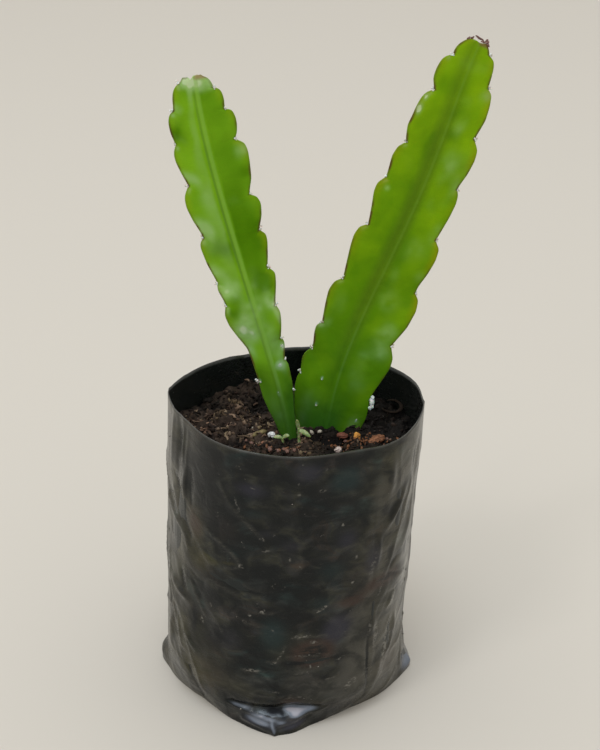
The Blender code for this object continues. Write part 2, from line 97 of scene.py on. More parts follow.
def roundTable(table, az, soften=2.0):
    # radius against azimuth all the way round: straight between entries, then a bell average
    angle = np.array([row[0] for row in table], float)
    value = np.array([row[1] for row in table], float)
    fine = np.arange(-720, 720, 0.5)
    angle = np.concatenate([angle + turn for turn in (-720, -360, 0, 360, 720)])
    dense = np.interp(fine, angle, np.tile(value, 5))
    reach = np.arange(-12, 12.5, 0.5)
    bell = np.exp(-(reach / soften) ** 2)
    dense = np.convolve(dense, bell / bell.sum(), "same")
    return np.interp(az, fine, dense)


def gridFaces(rows, columns):
    # quads of a grid of points stored row by row, the last column joined to the first
    r = np.arange(rows - 1)[:, None] * columns
    c = np.arange(columns)[None, :]
    n = (c + 1) % columns
    return np.stack([r + c, r + n, r + columns + n, r + columns + c], -1).reshape(-1, 4)


def fanFaces(centre, first, count, outward=True):
    # triangles from one point to a closed ring
    a = np.arange(count)
    b = (a + 1) % count
    pair = (first + a, first + b) if outward else (first + b, first + a)
    return np.stack([np.full(count, centre), *pair], -1)


def sweep(path, radii, sides=14, flat=1.0, normal=(0, -1, 0)):
    # a round or flattened section carried along a path of points
    path, radii = np.array(path, float), np.array(radii, float)
    way = np.gradient(path, axis=0)
    way /= np.linalg.norm(way, axis=1, keepdims=True)
    u = np.cross(way, np.array(normal, float))
    u /= np.linalg.norm(u, axis=1, keepdims=True)
    v = np.cross(u, way)
    a = np.arange(sides) * math.tau / sides
    ring = u[:, None] * np.cos(a)[None, :, None] + flat * v[:, None] * np.sin(a)[None, :, None]
    return path[:, None] + ring * radii[:, None, None]


def closedTube(rings):
    # the points and faces of a swept grid, with a fan from the middle of each end ring
    rows, sides = rings.shape[:2]
    count = rows * sides
    points = np.concatenate([rings.reshape(-1, 3), rings[0].mean(0)[None], rings[-1].mean(0)[None]])
    return points, [gridFaces(rows, sides), fanFaces(count, 0, sides, False),
                    fanFaces(count + 1, count - sides, sides)]


def joined(parts):
    # several (points, faces) as one, each part's faces counted on from the points before it
    starts = np.cumsum([0] + [len(points) for points, _ in parts])
    faces = [block + start for (_, blocks), start in zip(parts, starts) for block in blocks]
    return np.concatenate([points for points, _ in parts]), faces


def addObject(name, data):
    # a new object in the scene, of a mesh, lamp or camera
    made = bpy.data.objects.new(name, data)
    bpy.context.scene.collection.objects.link(made)
    return made


def makePiece(name, points, faces, finish, marks=None, swaps=()):
    # one mesh from millimetre points, with its point attributes, finish and place on the body
    mesh = bpy.data.meshes.new(name)
    faceList = [f for block in faces for f in block.tolist()]
    mesh.from_pydata((points * mm).tolist(), [], faceList)
    for mark, values in (marks or {}).items():
        layer = mesh.attributes.new(mark, "FLOAT", "POINT")
        layer.data.foreach_set("value", np.asarray(values, np.float32).ravel())
    mesh.polygons.foreach_set("use_smooth", np.ones(len(mesh.polygons), bool))
    mesh.materials.append(finish)
    mesh.update()
    piece = addObject(name, mesh)
    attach(piece, "root")
    if swaps:
        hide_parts(*swaps)
    print("made", name, len(points), "points")


# finishes

class Wire:
    # a material socket that takes part in arithmetic; each operation adds its Math node
    def __init__(self, finish, socket):
        self.finish, self.socket = finish, socket

    def maths(self, operation, first, second):
        return self.finish.node("ShaderNodeMath", {"operation": operation}, {0: first, 1: second})

    def __add__(self, other):
        return self.maths("ADD", self, other)

    def __radd__(self, other):
        return self.maths("ADD", other, self)

    def __sub__(self, other):
        return self.maths("SUBTRACT", self, other)

    def __rsub__(self, other):
        return self.maths("SUBTRACT", other, self)

    def __mul__(self, other):
        return self.maths("MULTIPLY", self, other)

    def __rmul__(self, other):
        return self.maths("MULTIPLY", other, self)

    def __abs__(self):
        return self.maths("ABSOLUTE", self, 0)


class Finish:
    # a Principled material built from wires; a socket's name is written with _ for a space
    def __init__(self, name, **constants):
        self.material = bpy.data.materials.new(name)
        self.material.use_nodes = True
        self.tree = self.material.node_tree
        self.shader = self.tree.nodes["Principled BSDF"]
        for key, value in constants.items():
            self.shader.inputs[key.replace("_", " ")].default_value = value
        self.place = self.node("ShaderNodeTexCoord", output="Object")

    def node(self, kind, settings=None, inputs=None, output=0):
        # any node: its settings first, then the values or wires of its sockets
        made = self.tree.nodes.new(kind)
        for key, value in (settings or {}).items():
            if key == "stops":
                stops = made.color_ramp.elements
                while len(stops) < len(value):
                    stops.new(0.5)
                for stop, (at, colour) in zip(stops, value):
                    stop.position, stop.color = at, (*colour, 1)
            else:
                setattr(made, key, value)
        for key, value in (inputs or {}).items():
            if isinstance(value, Wire):
                self.tree.links.new(value.socket, made.inputs[key])
            else:
                made.inputs[key].default_value = value
        return Wire(self, made.outputs[output])

    def noise(self, scale, detail=3.0, rough=0.55, stretch=None, twist=0.0):
        # cloud noise about 0.5; stretch multiplies the three coordinates
        where = self.place
        if stretch:
            where = self.node("ShaderNodeMapping", None, {"Vector": where, "Scale": stretch})
        return self.node("ShaderNodeTexNoise", None,
                         {"Vector": where, "Scale": scale, "Detail": detail,
                          "Roughness": rough, "Distortion": twist})

    def mark(self, name):
        # the value that the piece's points carry under this name
        return self.node("ShaderNodeAttribute", {"attribute_name": name}, output="Fac")

    def between(self, low, high, x):
        # 0 at low, 1 at high, eased; low may be above high
        return self.node("ShaderNodeMapRange", {"interpolation_type": "SMOOTHSTEP"},
                         {"Value": x, "From Min": low, "From Max": high})

    def blend(self, amount, first, second, kind="MIX"):
        # colours, mixed by amount
        colours = [c if isinstance(c, Wire) else (*c, 1) for c in (first, second)]
        return self.node("ShaderNodeMix", {"data_type": "RGBA", "blend_type": kind},
                         {"Factor": amount, 6: colours[0], 7: colours[1]}, output=2)

    def layers(self, colour, *coats):
        # coats of (amount, colour), each mixed over the last
        for amount, tone in coats:
            colour = self.blend(amount, colour, tone)
        return colour

    def ramp(self, x, stops):
        # a colour for each value, straight between (value, colour) stops
        return self.node("ShaderNodeValToRGB", {"stops": stops}, {"Fac": x}, output="Color")

    def relief(self, height, distance, strength=1.0, below=None):
        # a bumped normal, over another one where below gives it
        inputs = {"Height": height, "Distance": distance, "Strength": strength}
        if below:
            inputs["Normal"] = below
        return self.node("ShaderNodeBump", None, inputs, output="Normal")

    def feed(self, **sockets):
        # the wires go to the shader's sockets, and the material is done
        for key, wire in sockets.items():
            self.tree.links.new(wire.socket, self.shader.inputs[key.replace("_", " ")])
        return self.material


# the nursery bag

bag = {
    "radius": 57.3, "rim": 141.0, "drift": 4.9, "film": 0.4, "front": -98,
    "sectors": 440, "outerRows": 165,
    # rows of the inner wall, after twelve from the rim down to the first of these
    "innerHeights": (117, 108, 92, 70, 48, 30, 20, 12, 6, 1.2),
    "base": (
        (-188, 58), (-184, 61), (-179, 60.5), (-171, 57.2), (-162, 55.1), (-151, 52.4), (-139, 50.5),
        (-128, 51.4), (-117, 54), (-111, 55.2), (-104, 57.4), (-98, 59.2), (-92, 59.6), (-86, 58.2),
        (-78, 54), (-66, 51), (-54, 50), (-44, 51.4), (-35, 53.3), (-22, 55.9), (-14, 58.3), (-7, 61),
        (0, 59.6), (8, 55.6), (18, 53), (34, 50.8), (48, 51), (62, 53.5), (72, 57), (82, 60.6),
        (92, 57.6), (104, 54), (120, 51), (136, 50.6), (150, 53), (162, 56)),
    "mouth": (
        (-178, 56.5), (-168, 55), (-158, 54.5), (-148, 54.3), (-137, 55.4), (-125, 56.7), (-115, 57.8),
        (-102, 58.1), (-91, 58.9), (-84, 59.2), (-70, 58.9), (-62, 58.9), (-51, 60.3), (-42, 60.4),
        (-31, 59.2), (-19, 58.1), (-11, 57.6), (-1, 56.4), (12, 56), (26, 55.7), (35, 54.7), (60, 55.2),
        (83, 56), (95, 55.9), (117, 53.8), (134, 53.8), (154, 55.6), (168, 57), (176, 57.8)),
    "dents": (
        (-150, 84, 16, 17, -0.9), (-120, 60, 14, 20, 0.8), (-84, 98, 18, 14, 0.7),
        (-66, 46, 12, 16, -1.0), (-36, 70, 12, 22, 0.8), (-18, 104, 12, 18, -0.8),
        (-140, 36, 15, 12, 0.9), (-100, 30, 12, 9, -0.8), (20, 58, 18, 22, 0.9), (55, 96, 18, 20, -0.8),
        (96, 52, 16, 18, -0.9), (140, 92, 16, 20, 0.9), (160, 44, 14, 16, -0.9), (-170, 112, 14, 12, 0.7),
        (-4, 34, 24, 20, -2.6), (-4, 76, 24, 24, -1.6)),
    "corners": (-98, -8, 82, 172), "gusset": 127,
    # the left corner's ear stands higher: azimuth, reach, lift
    "ear": (-184, 14, 2.5),
    # cells round, slant in degrees per mm, cell height, strength, sharpness, more at the sides
    "folds": (
        (30, 1.20, 46, 0.44, 0.9, 1.0), (84, 0.5, 70, 0.02, 1.2, 1.0), (60, 0.90, 30, 0.05, 1.5, 0.0),
        (22, 0.7, 50, 0.38, 1.0, 0.5)),
    # soft pleats and panes on the flanks: azimuth, height, half length, half width, slant, rise
    "pleats": (
        (-165, 130, 14, 3.0, 90, 0.7), (-156.5, 130, 14, 2.3, 90, -1.3), (-151.5, 129, 13, 1.5, 90, 0.7),
        (-149, 111, 8, 2.2, 90, 0.9), (-142.5, 112, 5, 1.8, 90, -0.4), (-158.5, 93, 12, 1.9, -27, 1.1),
        (-143, 80, 8, 8, 0, 0.9), (-151, 58.5, 8, 2.2, -12, 1.3), (-131, 50, 6, 8, 0, -0.9),
        (-160, 30, 9, 3.5, 80, 0.8), (-140, 37, 5, 1.3, -49, 0.7), (-147, 18, 7, 5, 0, 0.6),
        (-153, 44, 7, 2.2, -40, -0.7), (-47, 125, 11, 2.8, 90, 1.0), (-41, 105, 9, 2.3, 54, 1.0),
        (-49.5, 87, 7, 1.4, 90, 0.6), (-33.5, 40, 5, 1.8, 80, 1.0), (-36.5, 31, 5, 1.5, 55, 0.8),
        (-39, 56, 3, 1.3, 60, 0.6), (-49.5, 46, 4, 1.5, 80, 0.5), (-26, 92, 12, 3.0, 66, 0.9),
        (-30, 68, 8, 3.0, -20, 0.8), (-56, 14, 6, 4, 0, 0.7), (-44, 20, 8, 2.5, 80, 0.7),
        (-22, 120, 12, 3, 85, -0.6)),
    # single creases: width and rise in mm, then azimuth and height along the crease
    "creases": (
        (1.3, -0.9, (-159, 113), (-155, 104), (-149, 96), (-142, 89)),
        (1.3, 0.6, (-161, 106), (-155, 97), (-147, 88), (-143, 82)), (1.5, 0.5, (-157, 141), (-157, 119)),
        (1.3, -0.5, (-152, 141), (-152, 115)), (1.6, 0.5, (-147, 137), (-148, 108)),
        (1.5, -0.5, (-143, 119), (-143, 105)),
        (1.1, 0.55, (-131, 98), (-122, 93.5), (-115, 88.5), (-112, 85.5)),
        (1.1, 0.5, (-112, 85.5), (-116, 83.5), (-121, 82), (-127, 82), (-131, 84)),
        (1.1, 0.4, (-123, 122), (-116, 113), (-109, 107), (-103, 102)),
        (1.2, 0.45, (-141, 92), (-134, 86), (-128, 82)), (1.6, -0.6, (-140, 73), (-136, 71), (-131, 70)),
        (1.5, -0.7, (-149, 68), (-145, 62)), (1.6, -0.5, (-139, 69), (-133, 64)),
        (1.6, -0.9, (-141, 21), (-138.5, 10), (-136.5, 1)),
        (1.0, -0.22, (-53.5, 97), (-52, 84), (-51, 71)), (1.4, -0.6, (-20, 78), (-37, 79), (-42, 76)),
        (1.5, -0.8, (-42, 73), (-30, 68), (-14, 58)), (1.3, -0.6, (-41, 61.5), (-30, 59), (-20, 56)),
        (2.0, -0.55, (-131, 77.5), (-121, 75), (-110, 74), (-100, 71.5)),
        (1.6, 0.3, (-128, 73), (-112, 70)), (1.1, 0.3, (-139, 67), (-134, 60), (-131, 54)),
        (1.1, 0.25, (-127, 58), (-123, 54), (-120, 50)),
        (1.2, 0.6, (-144, 38), (-141, 33), (-138, 27), (-135, 18), (-133, 11)),
        (1.4, 0.6, (-165, 70), (-158, 52), (-150, 38), (-147, 29)),
        (1.3, -0.6, (-168, 62), (-160, 45), (-153, 32)), (0.8, 0.4, (-111, 31.5), (-101, 31.5)),
        (0.9, 0.3, (-110, 57), (-104, 56.5)), (1.5, 0.3, (-105, 63.5), (-98, 64)),
        (1.0, 0.4, (-99, 37), (-94, 38), (-91, 46)),
        (0.9, 0.7, (-88, 51), (-85, 52.5), (-79, 51.5), (-73, 51)), (0.8, 0.4, (-80, 48), (-75, 47.5)),
        (1.0, 0.4, (-90, 41), (-78, 41), (-68, 40)), (1.4, -0.5, (-90, 37.5), (-70, 37)),
        (0.9, 0.4, (-90, 34), (-80, 34.5), (-70, 33.5)), (0.9, 0.5, (-80, 63.5), (-75, 65), (-72, 66.5)),
        (0.9, -0.5, (-52.0, 44), (-51.5, 38), (-50.5, 24), (-48.5, 8)),
        (1.6, 0.3, (-48.6, 44), (-47.2, 22)), (1.6, 0.55, (-29, 113), (-33, 102), (-39, 88), (-43, 76)),
        (1.4, -0.5, (-27, 128), (-27, 112)), (1.2, 0.35, (-47, 58), (-50, 50), (-52, 44)),
        (1.0, 0.45, (-38, 47), (-40, 40)), (1.0, 0.5, (-37, 38), (-40, 30)),
        (1.0, 0.4, (-35, 60), (-38, 54)), (0.9, 0.35, (-61, 62), (-57, 63.5)),
        (1.0, 0.4, (-60, 26), (-54, 24)), (2.0, 0.35, (-42, 137), (-41, 118)),
        (1.2, -0.4, (-66, 69), (-52, 64)), (1.2, 0.35, (-108, 20), (-96, 18.5), (-84, 20)),
        (1.8, 0.9, (126, 141), (120, 136), (115, 129)), (1.6, -0.8, (119, 141), (116, 133)),
        (1.6, 0.8, (150, 140), (141, 133), (133, 127)), (1.8, 0.7, (170, 139), (159, 131)),
        (1.6, 0.7, (64, 141), (60, 132), (52, 126)), (1.8, -0.6, (88, 141), (92, 128))),
    "moreCreases": 56, "creaseSeed": 19,
    # marks in the film, each: azimuth, height, half length, half width, slant, strength;
    # pale spots first: wear and scuffs, with painted glints among them
    "worn": (
        (-113.5, 132.5, 1.3, 0.7, -20, 0.7), (-106.5, 124.5, 2, 0.7, 10, 0.35),
        (-114, 115, 4, 0.6, -65, 0.4), (-124, 107, 1.1, 0.6, 80, 0.6),
        (-107.5, 104.5, 1.3, 0.6, -50, 0.4), (-102.5, 100.5, 1.6, 0.7, -30, 0.6),
        (-97.5, 103, 0.9, 0.6, 0, 0.35), (-87, 137, 0.7, 0.5, 0, 0.4), (-77, 134, 1.0, 0.7, 30, 0.35),
        (-88, 128, 0.6, 0.9, 0, 0.35), (-79, 124.5, 2.2, 0.5, -5, 0.5), (-87, 122.5, 1.8, 0.5, -20, 0.45),
        (-68.5, 106.5, 0.7, 0.7, 0, 0.8), (-78, 103, 2.0, 0.5, 5, 0.4), (-111.5, 97, 3.0, 0.6, -60, 0.4),
        (-101, 94.5, 2.4, 0.8, 20, 0.4), (-90.5, 92, 1.6, 0.5, 90, 0.55),
        (-86.5, 87.5, 1.8, 0.7, -35, 0.4), (-111.5, 85.5, 1.2, 0.7, -35, 1.0),
        (-119, 89, 6, 0.6, -35, 0.25), (-61, 88, 0.8, 0.8, 0, 0.6), (-62, 75.5, 0.8, 0.7, 0, 0.7),
        (-96.5, 77.5, 1.8, 1.1, 30, 0.4), (-107.3, 61.5, 0.7, 0.6, 0, 1.0),
        (-109.5, 58, 1.6, 0.5, 0, 0.5), (-101.5, 64, 2.4, 1.2, 8, 0.45), (-104, 67.5, 0.6, 0.6, 0, 0.4),
        (-97, 54.5, 1.0, 0.8, 0, 0.35), (-77, 64, 2.4, 0.6, 22, 0.7), (-74.5, 66, 1.2, 0.7, 25, 0.9),
        (-61.5, 60.5, 1.0, 0.8, 0, 0.5), (-84.5, 51.5, 3.4, 0.8, 3, 0.95), (-79, 48, 2.0, 0.6, -5, 0.6),
        (-82, 41.3, 8, 0.5, 0, 0.45), (-96, 37.5, 1.4, 0.7, 10, 0.8), (-93, 42, 5, 0.5, 62, 0.4),
        (-106, 32, 4, 0.6, 3, 0.6), (-80, 35, 0.6, 0.9, 0, 0.8), (-83, 32, 6, 0.6, 8, 0.3),
        (-60.5, 21, 3.2, 1.3, 42, 0.6), (-57.5, 22, 0.7, 1.4, 0, 0.5), (-86, 19, 5, 0.5, 2, 0.35),
        (-95, 21.5, 3, 0.5, -4, 0.35), (-70, 27, 5, 0.5, 6, 0.3), (-66, 36, 3, 0.6, 20, 0.4),
        (-133, 50, 2.0, 1.2, -50, 0.5), (-126, 60, 4, 0.6, -60, 0.35), (-150, 27, 1.5, 1.2, 0, 0.5),
        (-47, 42, 8, 1.6, 85, 0.35), (-51, 48, 6, 1.0, 85, 0.3), (-40, 30, 9, 1.5, 80, 0.35),
        (-36, 58, 7, 1.2, 75, 0.4), (-46, 66, 6, 1.0, 70, 0.3), (-52, 80, 9, 1.8, 80, 0.3),
        (-50, 22, 5, 7, 0, 0.2), (-37, 38, 8, 14, -10, 0.17)),
    # then teal where above 0 and violet below
    "cold": (
        (-97, 52, 7, 9, 0, 1.0), (-68, 128, 8, 6, 0, 1.1), (-72, 84, 8, 7, 0, 0.6),
        (-68, 52, 8, 7, 60, -1.2), (-90, 98, 6, 4, 0, -0.5), (-118, 46, 9, 7, 0, -0.6),
        (-76, 68, 8, 4, 0, 0.5), (-108, 112, 9, 3, 0, 0.5), (-66, 98, 6, 7, 0, -0.7),
        (-52, 84, 5, 9, 0, -0.8), (-101, 103, 5, 3, 0, -0.4), (-108, 123, 8, 4, 0, -0.8),
        (-84, 133, 7, 5, 0, -0.8), (-86, 4.4, 5, 2.2, 10, -1.4), (-104, 6, 5, 2, 20, -0.8),
        (-60, 112, 6, 9, 0, 0.3), (30, 70, 12, 9, 0, 0.4), (110, 60, 10, 9, 0, -0.4)),
    # then painted shade: dull black in hollows, pleats, dents and the flap's pocket
    "hollow": (
        (-109, 36, 5, 2.6, 0, 1.0), (-87, 37.3, 6, 1.2, 0, 1.0), (-73, 28, 2.5, 2.5, 0, 0.8),
        (-113, 74, 8, 1.2, -8, 1.0), (-137, 50, 7, 1.4, 90, 0.9), (-97, 12, 3.6, 1.8, 0, 1.0),
        (-60, 104, 4, 3, 0, 0.5), (-50.8, 26, 15, 0.8, 90, 0.8), (-100, 86, 6, 3, 0, 0.5),
        (-84, 96, 6, 2, 0, 0.5), (-124, 66, 5, 2, -30, 0.6), (-70, 78, 6, 3, 0, 0.4),
        (-134, 120, 12, 17, 0, 0.95), (-118, 100, 9, 12, 0, 0.75), (-114, 116, 8, 7, 0, 0.6),
        (-124, 46, 9, 9, 0, 0.8), (-104, 46, 9, 5, 0, 0.5), (-126, 65, 8, 6, 0, 0.8),
        (-45, 106, 4, 5, 40, 0.6), (-147, 122, 6, 12, 0, 0.6), (-96, 84, 9, 8, 0, 0.4),
        (-156.5, 128, 14, 2.0, 90, 0.8), (-148, 112, 6, 1.8, 90, 0.5), (-146, 56, 7, 34, 0, 0.3),
        (-27, 122, 10, 3, 90, 0.4), (-95.2, 9.9, 4.6, 1.3, 0, 1.75), (-91.0, 8.9, 1.8, 1.0, -40, 1.0),
        (-106, 9.9, 3.4, 0.7, 0, 0.8), (-90.5, 6.3, 3.6, 0.6, 0, 0.5), (-184, 7, 6, 6, 0, 0.5),
        (84, 130, 16, 13, 0, 1.0), (-53.3, 98, 30, 0.8, 90, 0.4)),
    # then tight glossy places: flap, ears, pleats of the mouth; near the foot they also get a painted blue
    # sky reflection
    "tight": (
        (-96, 7, 20, 6, 0, 0.55), (-8, 8, 9, 9, 0, 0.9), (-178, 12, 9, 10, 0, 0.05),
        (82, 8, 9, 8, 0, 0.8), (118, 134, 12, 6, 0, 0.9), (-36, 40, 16, 36, 0, 0.6),
        (-24, 80, 12, 30, 0, 0.5), (-158, 100, 7, 40, 0, 0.6), (-70, 62, 8, 6, 0, 0.4),
        (-112, 60, 12, 10, 0, 0.25)),
    # then a pale veil of dust and painted reflection, bare where below 0
    "veil": (
        (-51, 70, 6, 8, 0, 0.8), (-57, 30, 9, 20, 0, 0.9), (-30, 14, 14, 11, 0, 0.9),
        (-24, 38, 9, 18, 0, 0.8), (-38, 34, 9, 16, 0, 0.6), (-43, 46, 8, 18, 0, 0.4),
        (-51, 116, 5, 13, 0, 0.8), (-41, 123, 6, 10, 0, 0.9), (-46, 82, 5, 11, 0, 0.9),
        (-58, 52, 7, 10, 0, 1.0), (-60, 18, 9, 7, 0, 0.8), (-50, 24, 7, 10, 0, 0.9),
        (-82, 24, 9, 7, 0, 0.8), (-79, 125, 5, 8, 0, 0.4), (-70, 48, 5, 8, 0, 0.5),
        (-142, 43, 4, 5, 0, 0.9), (-150, 59, 5, 4, 0, 0.9), (-40, 96, 5, 7, 0, 0.5),
        (-139, 98, 7, 7, 0, 0.35), (-151, 78, 6, 8, 0, 0.6), (-150, 112, 4, 14, 0, 0.5),
        (-138, 24, 10, 10, 0, 0.6), (-112, 22, 16, 8, 0, 0.45), (-70, 22, 14, 6, 0, 0.4),
        (-84, 33, 14, 3, 0, 0.4), (20, 30, 20, 16, 0, 0.7), (100, 40, 20, 16, 0, 0.7),
        (160, 24, 16, 14, 0, 0.7)),
    # then olive-brown dust, with a painted olive highlight on the left and painted floor reflection low down
    "olive": (
        (-129, 83.5, 5.5, 1.5, -8, 1.3), (-118, 85, 4.5, 1.0, 10, 0.7), (-139, 96, 8, 12, 0, 0.8),
        (-134, 80, 9, 5, 0, 0.6), (-136, 22, 12, 9, 0, 0.9), (-112, 21, 10, 5, 0, 0.35),
        (-146, 40, 6, 10, 0, 0.7), (-28, 24, 10, 9, 0, 0.6), (-150, 74, 6, 12, 0, 0.5),
        (120, 30, 20, 14, 0, 0.6), (30, 20, 16, 9, 0, 0.5)),
    # then painted sky reflection: the bright panes of the folded front corner and the right ear, taken away
    # where below 0
    "sheen": (
        (-10, 4.8, 6, 4, 0, 0.85), (-95.8, 9.4, 5.0, 1.2, 0, -0.7), (-89.2, 10.7, 2.2, 0.8, 0, 1.3),
        (-99.5, 5.2, 3.0, 0.9, 0, 0.6), (-94.4, 2.6, 0.8, 1.5, 0, 0.5), (-113.5, 11.0, 3.0, 0.7, -4, 0.6),
        (-108.5, 10.5, 3.0, 0.8, -4, 0.65), (-85.4, 10.3, 3.6, 1.4, -4, 1.8),
        (-80.0, 10.9, 4.4, 1.0, 0, 1.1), (-101.4, 8.1, 4.6, 0.9, -6, 1.0), (-96.5, 7.2, 2.8, 0.8, 0, 0.8),
        (-85.8, 8.8, 2.2, 1.0, 0, 1.0), (-100.8, 8.3, 1.5, 0.6, 0, 0.8), (-103, 5.9, 4.8, 1.2, -10, 1.0),
        (-95.5, 5.0, 2.4, 0.6, -72, 0.8), (-91.6, 6.3, 2.4, 0.8, 0, 0.7)),
    # brown mix showing through: azimuth, height, reach round, reach up, strength
    "stains": (
        (-78.5, 42, 9, 6.5, 1.5), (-120, 101, 6, 7, 0.6), (-88, 17, 8, 4, 0.5),
        (-95.8, 9.5, 4.6, 1.2, 0.4), (-60, 80, 14, 12, 0.25), (-128, 24, 16, 12, 0.35),
        (-35, 24, 14, 12, 0.45), (-139, 97, 7, 8, 0.7), (-43, 70, 11, 3.4, 1.3), (-62, 65, 9, 3, 0.8),
        (20, 40, 16, 12, 0.6), (85, 62, 15, 10, 0.7), (150, 36, 15, 11, 0.6), (120, 100, 16, 10, 0.35)),
    # the collapsed front corner: middle, half spans, fall of its shelf, push at the foot, middle
    # of the calm film round it, the row of points that becomes its crease, then crease height
    # and shelf edge height against the gap from the middle, and ridges: rise, width, line
    "flap": {"middle": -95, "left": 24, "right": 25, "fall": 1.2, "proud": 0.2, "calm": -96,
             "creaseRow": 11.45,
             "crease": (
                 (-24, 12.2), (-20, 12.0), (-11, 11.4), (-5, 11.2), (0, 11.3), (3, 12.0), (10, 12.6),
                 (18, 11.6), (25, 11.0)),
             "shelf": ((-24, 11.0), (-11, 9.0), (0, 8.1), (8, 8.4), (18, 9.6), (25, 10.2)),
             "ridges": (
                 (1.1, 1.7, (-94.5, 1), (-96.5, 3.2), (-101, 4.2), (-109.5, 4.7)),
                 (0.5, 1.0, (-94.5, 1), (-94.8, 4.8), (-90.5, 6.2)),
                 (0.3, 1.1, (-102, 8.4), (-98, 7.2), (-93, 7.0), (-90, 8.2)),
                 (0.4, 0.9, (-94.8, 3.8), (-96, 7.2)), (-0.7, 1.2, (-92, 3), (-84, 5), (-79, 7.4)),
                 (-0.5, 1.0, (-98, 3.4), (-108, 7.0)))},
}


def sideways(az):
    # sine of the turn from the front: 0 in front and behind, 1 and -1 on the flanks
    return np.sin(np.radians(az - bag["front"]))


def nearLine(az, z, points):
    # distance to a line of (azimuth, height) points; a degree round is a millimetre here
    nearest = np.full(az.shape, 1e3)
    for (a0, z0), (a1, z1) in zip(points, points[1:]):
        da, dz, la, lz = turnGap(az, a0), z - z0, a1 - a0, z1 - z0
        t = np.clip((da * la + dz * lz) / (la * la + lz * lz), 0, 1)
        nearest = np.minimum(nearest, np.hypot(da - t * la, dz - t * lz))
    return nearest


def bentPlace(az, z):
    # the place moved by slow noise, so that no crease runs dead straight
    return tuple(at + 1.1 * latticeNoise(az / 9, z / 7, seed, 40) for at, seed in ((az, 51), (z, 52)))


def creaseLines(az, z, way):
    # bells along the creases that rise (way 1) or sink (way -1), stronger for the bold ones
    azBent, zBent = bentPlace(az, z)
    lines = np.zeros_like(az)
    for _, rise, *points in creases:
        if rise * way > 0:
            near = bump(nearLine(azBent, zBent, points), 0, 0.7)
            lines = np.maximum(lines, min(1.0, abs(rise) * 1.2) * near)
    return lines


def smears(az, z, spots):
    # the sum of bells stretched and slanted on the film
    total = np.zeros_like(az)
    for a0, z0, long, wide, slant, strength in spots:
        da, dz, turn = turnGap(az, a0), z - z0, math.radians(slant)
        u = da * math.cos(turn) + dz * math.sin(turn)
        v = dz * math.cos(turn) - da * math.sin(turn)
        total += strength * np.exp(-(u / long) ** 2 - (v / wide) ** 2)
    return total


def scatteredCreases():
    # bent creases for the sides and back, falling toward the nearer seam
    rng = np.random.default_rng(bag["creaseSeed"])
    made = []
    for _ in range(bag["moreCreases"]):
        az, z = rng.uniform(-24, 196), rng.uniform(14, 122)
        fall = rng.uniform(0.4, 2.6) * (1 if sideways(az) > 0 else -1)
        if z < 60 and rng.uniform() < 0.4:
            fall = rng.normal(0, 0.25)
        long, bend = rng.uniform(7, 26), rng.normal(0, 2.5)
        way = np.array([1, fall]) / math.hypot(1, fall) * long / 2
        off = np.array([-way[1], way[0]]) / long * 2 * bend / 2
        made.append((rng.uniform(0.9, 1.8), rng.choice((-1, 1, 1)) * rng.uniform(0.25, 0.75),
                     (az - way[0], z - way[1]), (az + off[0], z + off[1]), (az + way[0], z + way[1])))
    return tuple(made)


creases = bag["creases"] + scatteredCreases()


def filmRelief(az, z):
    # height of the creases: slanted folds that fall toward the front from both sides, short
    # level crumples low down, lumps of the mix behind, single creases, corners and a gusset
    side = sideways(az)
    front = 1 - side ** 2
    height = np.zeros_like(az)
    for k, (cells, slant, tall, strong, sharp, sides) in enumerate(bag["folds"]):
        u = (az - slant * side * (z - 70)) / 360 * cells
        sway = 0.35 * latticeNoise(az / 9, z / 14, 90 + k, 40)
        n = latticeNoise(u + sway, z / tall + 3, 11 + k, cells)
        height += strong * (ridge(n, sharp) - 0.5) * (1 - sides + sides * side ** 2)
    height += 1.35 * smears(az, z, bag["pleats"])
    low = easeStep(88, 12, z) * (0.35 + 0.65 * front)
    crumple = roundNoise(az, z / 4.6, 31, 46) + 0.6 * roundNoise(az, z / 3.1, 32, 92)
    height += 0.22 * low * (ridge(crumple, 1.5) - 0.5)
    filled = easeStep(126, 112, z) * (0.3 + 0.7 * front)
    height += filled * 0.15 * roundNoise(az, z / 4.2, 41, 90)
    height += filled * 0.05 * roundNoise(az, z / 2.3, 42, 180)
    azBent, zBent = bentPlace(az, z)
    for width, rise, *points in creases:
        height += rise * np.exp(-nearLine(azBent, zBent, points) / width)
    height *= 0.45 + 0.55 * easeStep(141, 124, z)
    height *= 1 - 0.45 * roundBump(az, -137, 12) * easeStep(60, 90, z)
    for corner in bag["corners"][1:]:
        height += 0.45 * roundBump(az, corner + 0.6 * np.sin(z / 17), 1.5)
    lane = turnGap(az, bag["gusset"] + 0.5 * np.sin(z / 21))
    height += easeStep(112, 84, z) * (0.30 * bump(lane, 1.6, 1.5) - 0.32 * bump(lane, -0.4, 0.9))
    return np.clip(height, -1.3, 1.5)


def footRadius(az):
    # the foot's outline all round
    return roundTable(bag["base"], az, 1.4)


def bagRadius(az, z):
    # round body easing into the mouth's outline, less the rounded foot, plus pinched corners
    body = bag["radius"] + (roundTable(bag["mouth"], az) - bag["radius"]) * easeStep(58, 138, z)
    for middle, high, wide, tall, depth in bag["dents"]:
        body = body + depth * roundBump(az, middle, wide) * bump(z, high, tall)
    foot = footRadius(az) - bag["radius"]
    radius = body + np.minimum(foot, 0) * (1 - np.clip(z / 24, 0, 1)) ** 2
    earMiddle, earReach, earLift = bag["ear"]
    lowered = z - earLift * roundBump(az, earMiddle, earReach)
    return radius + np.maximum(foot, 0) * (1 - easeStep(1.5, 9.5, lowered))


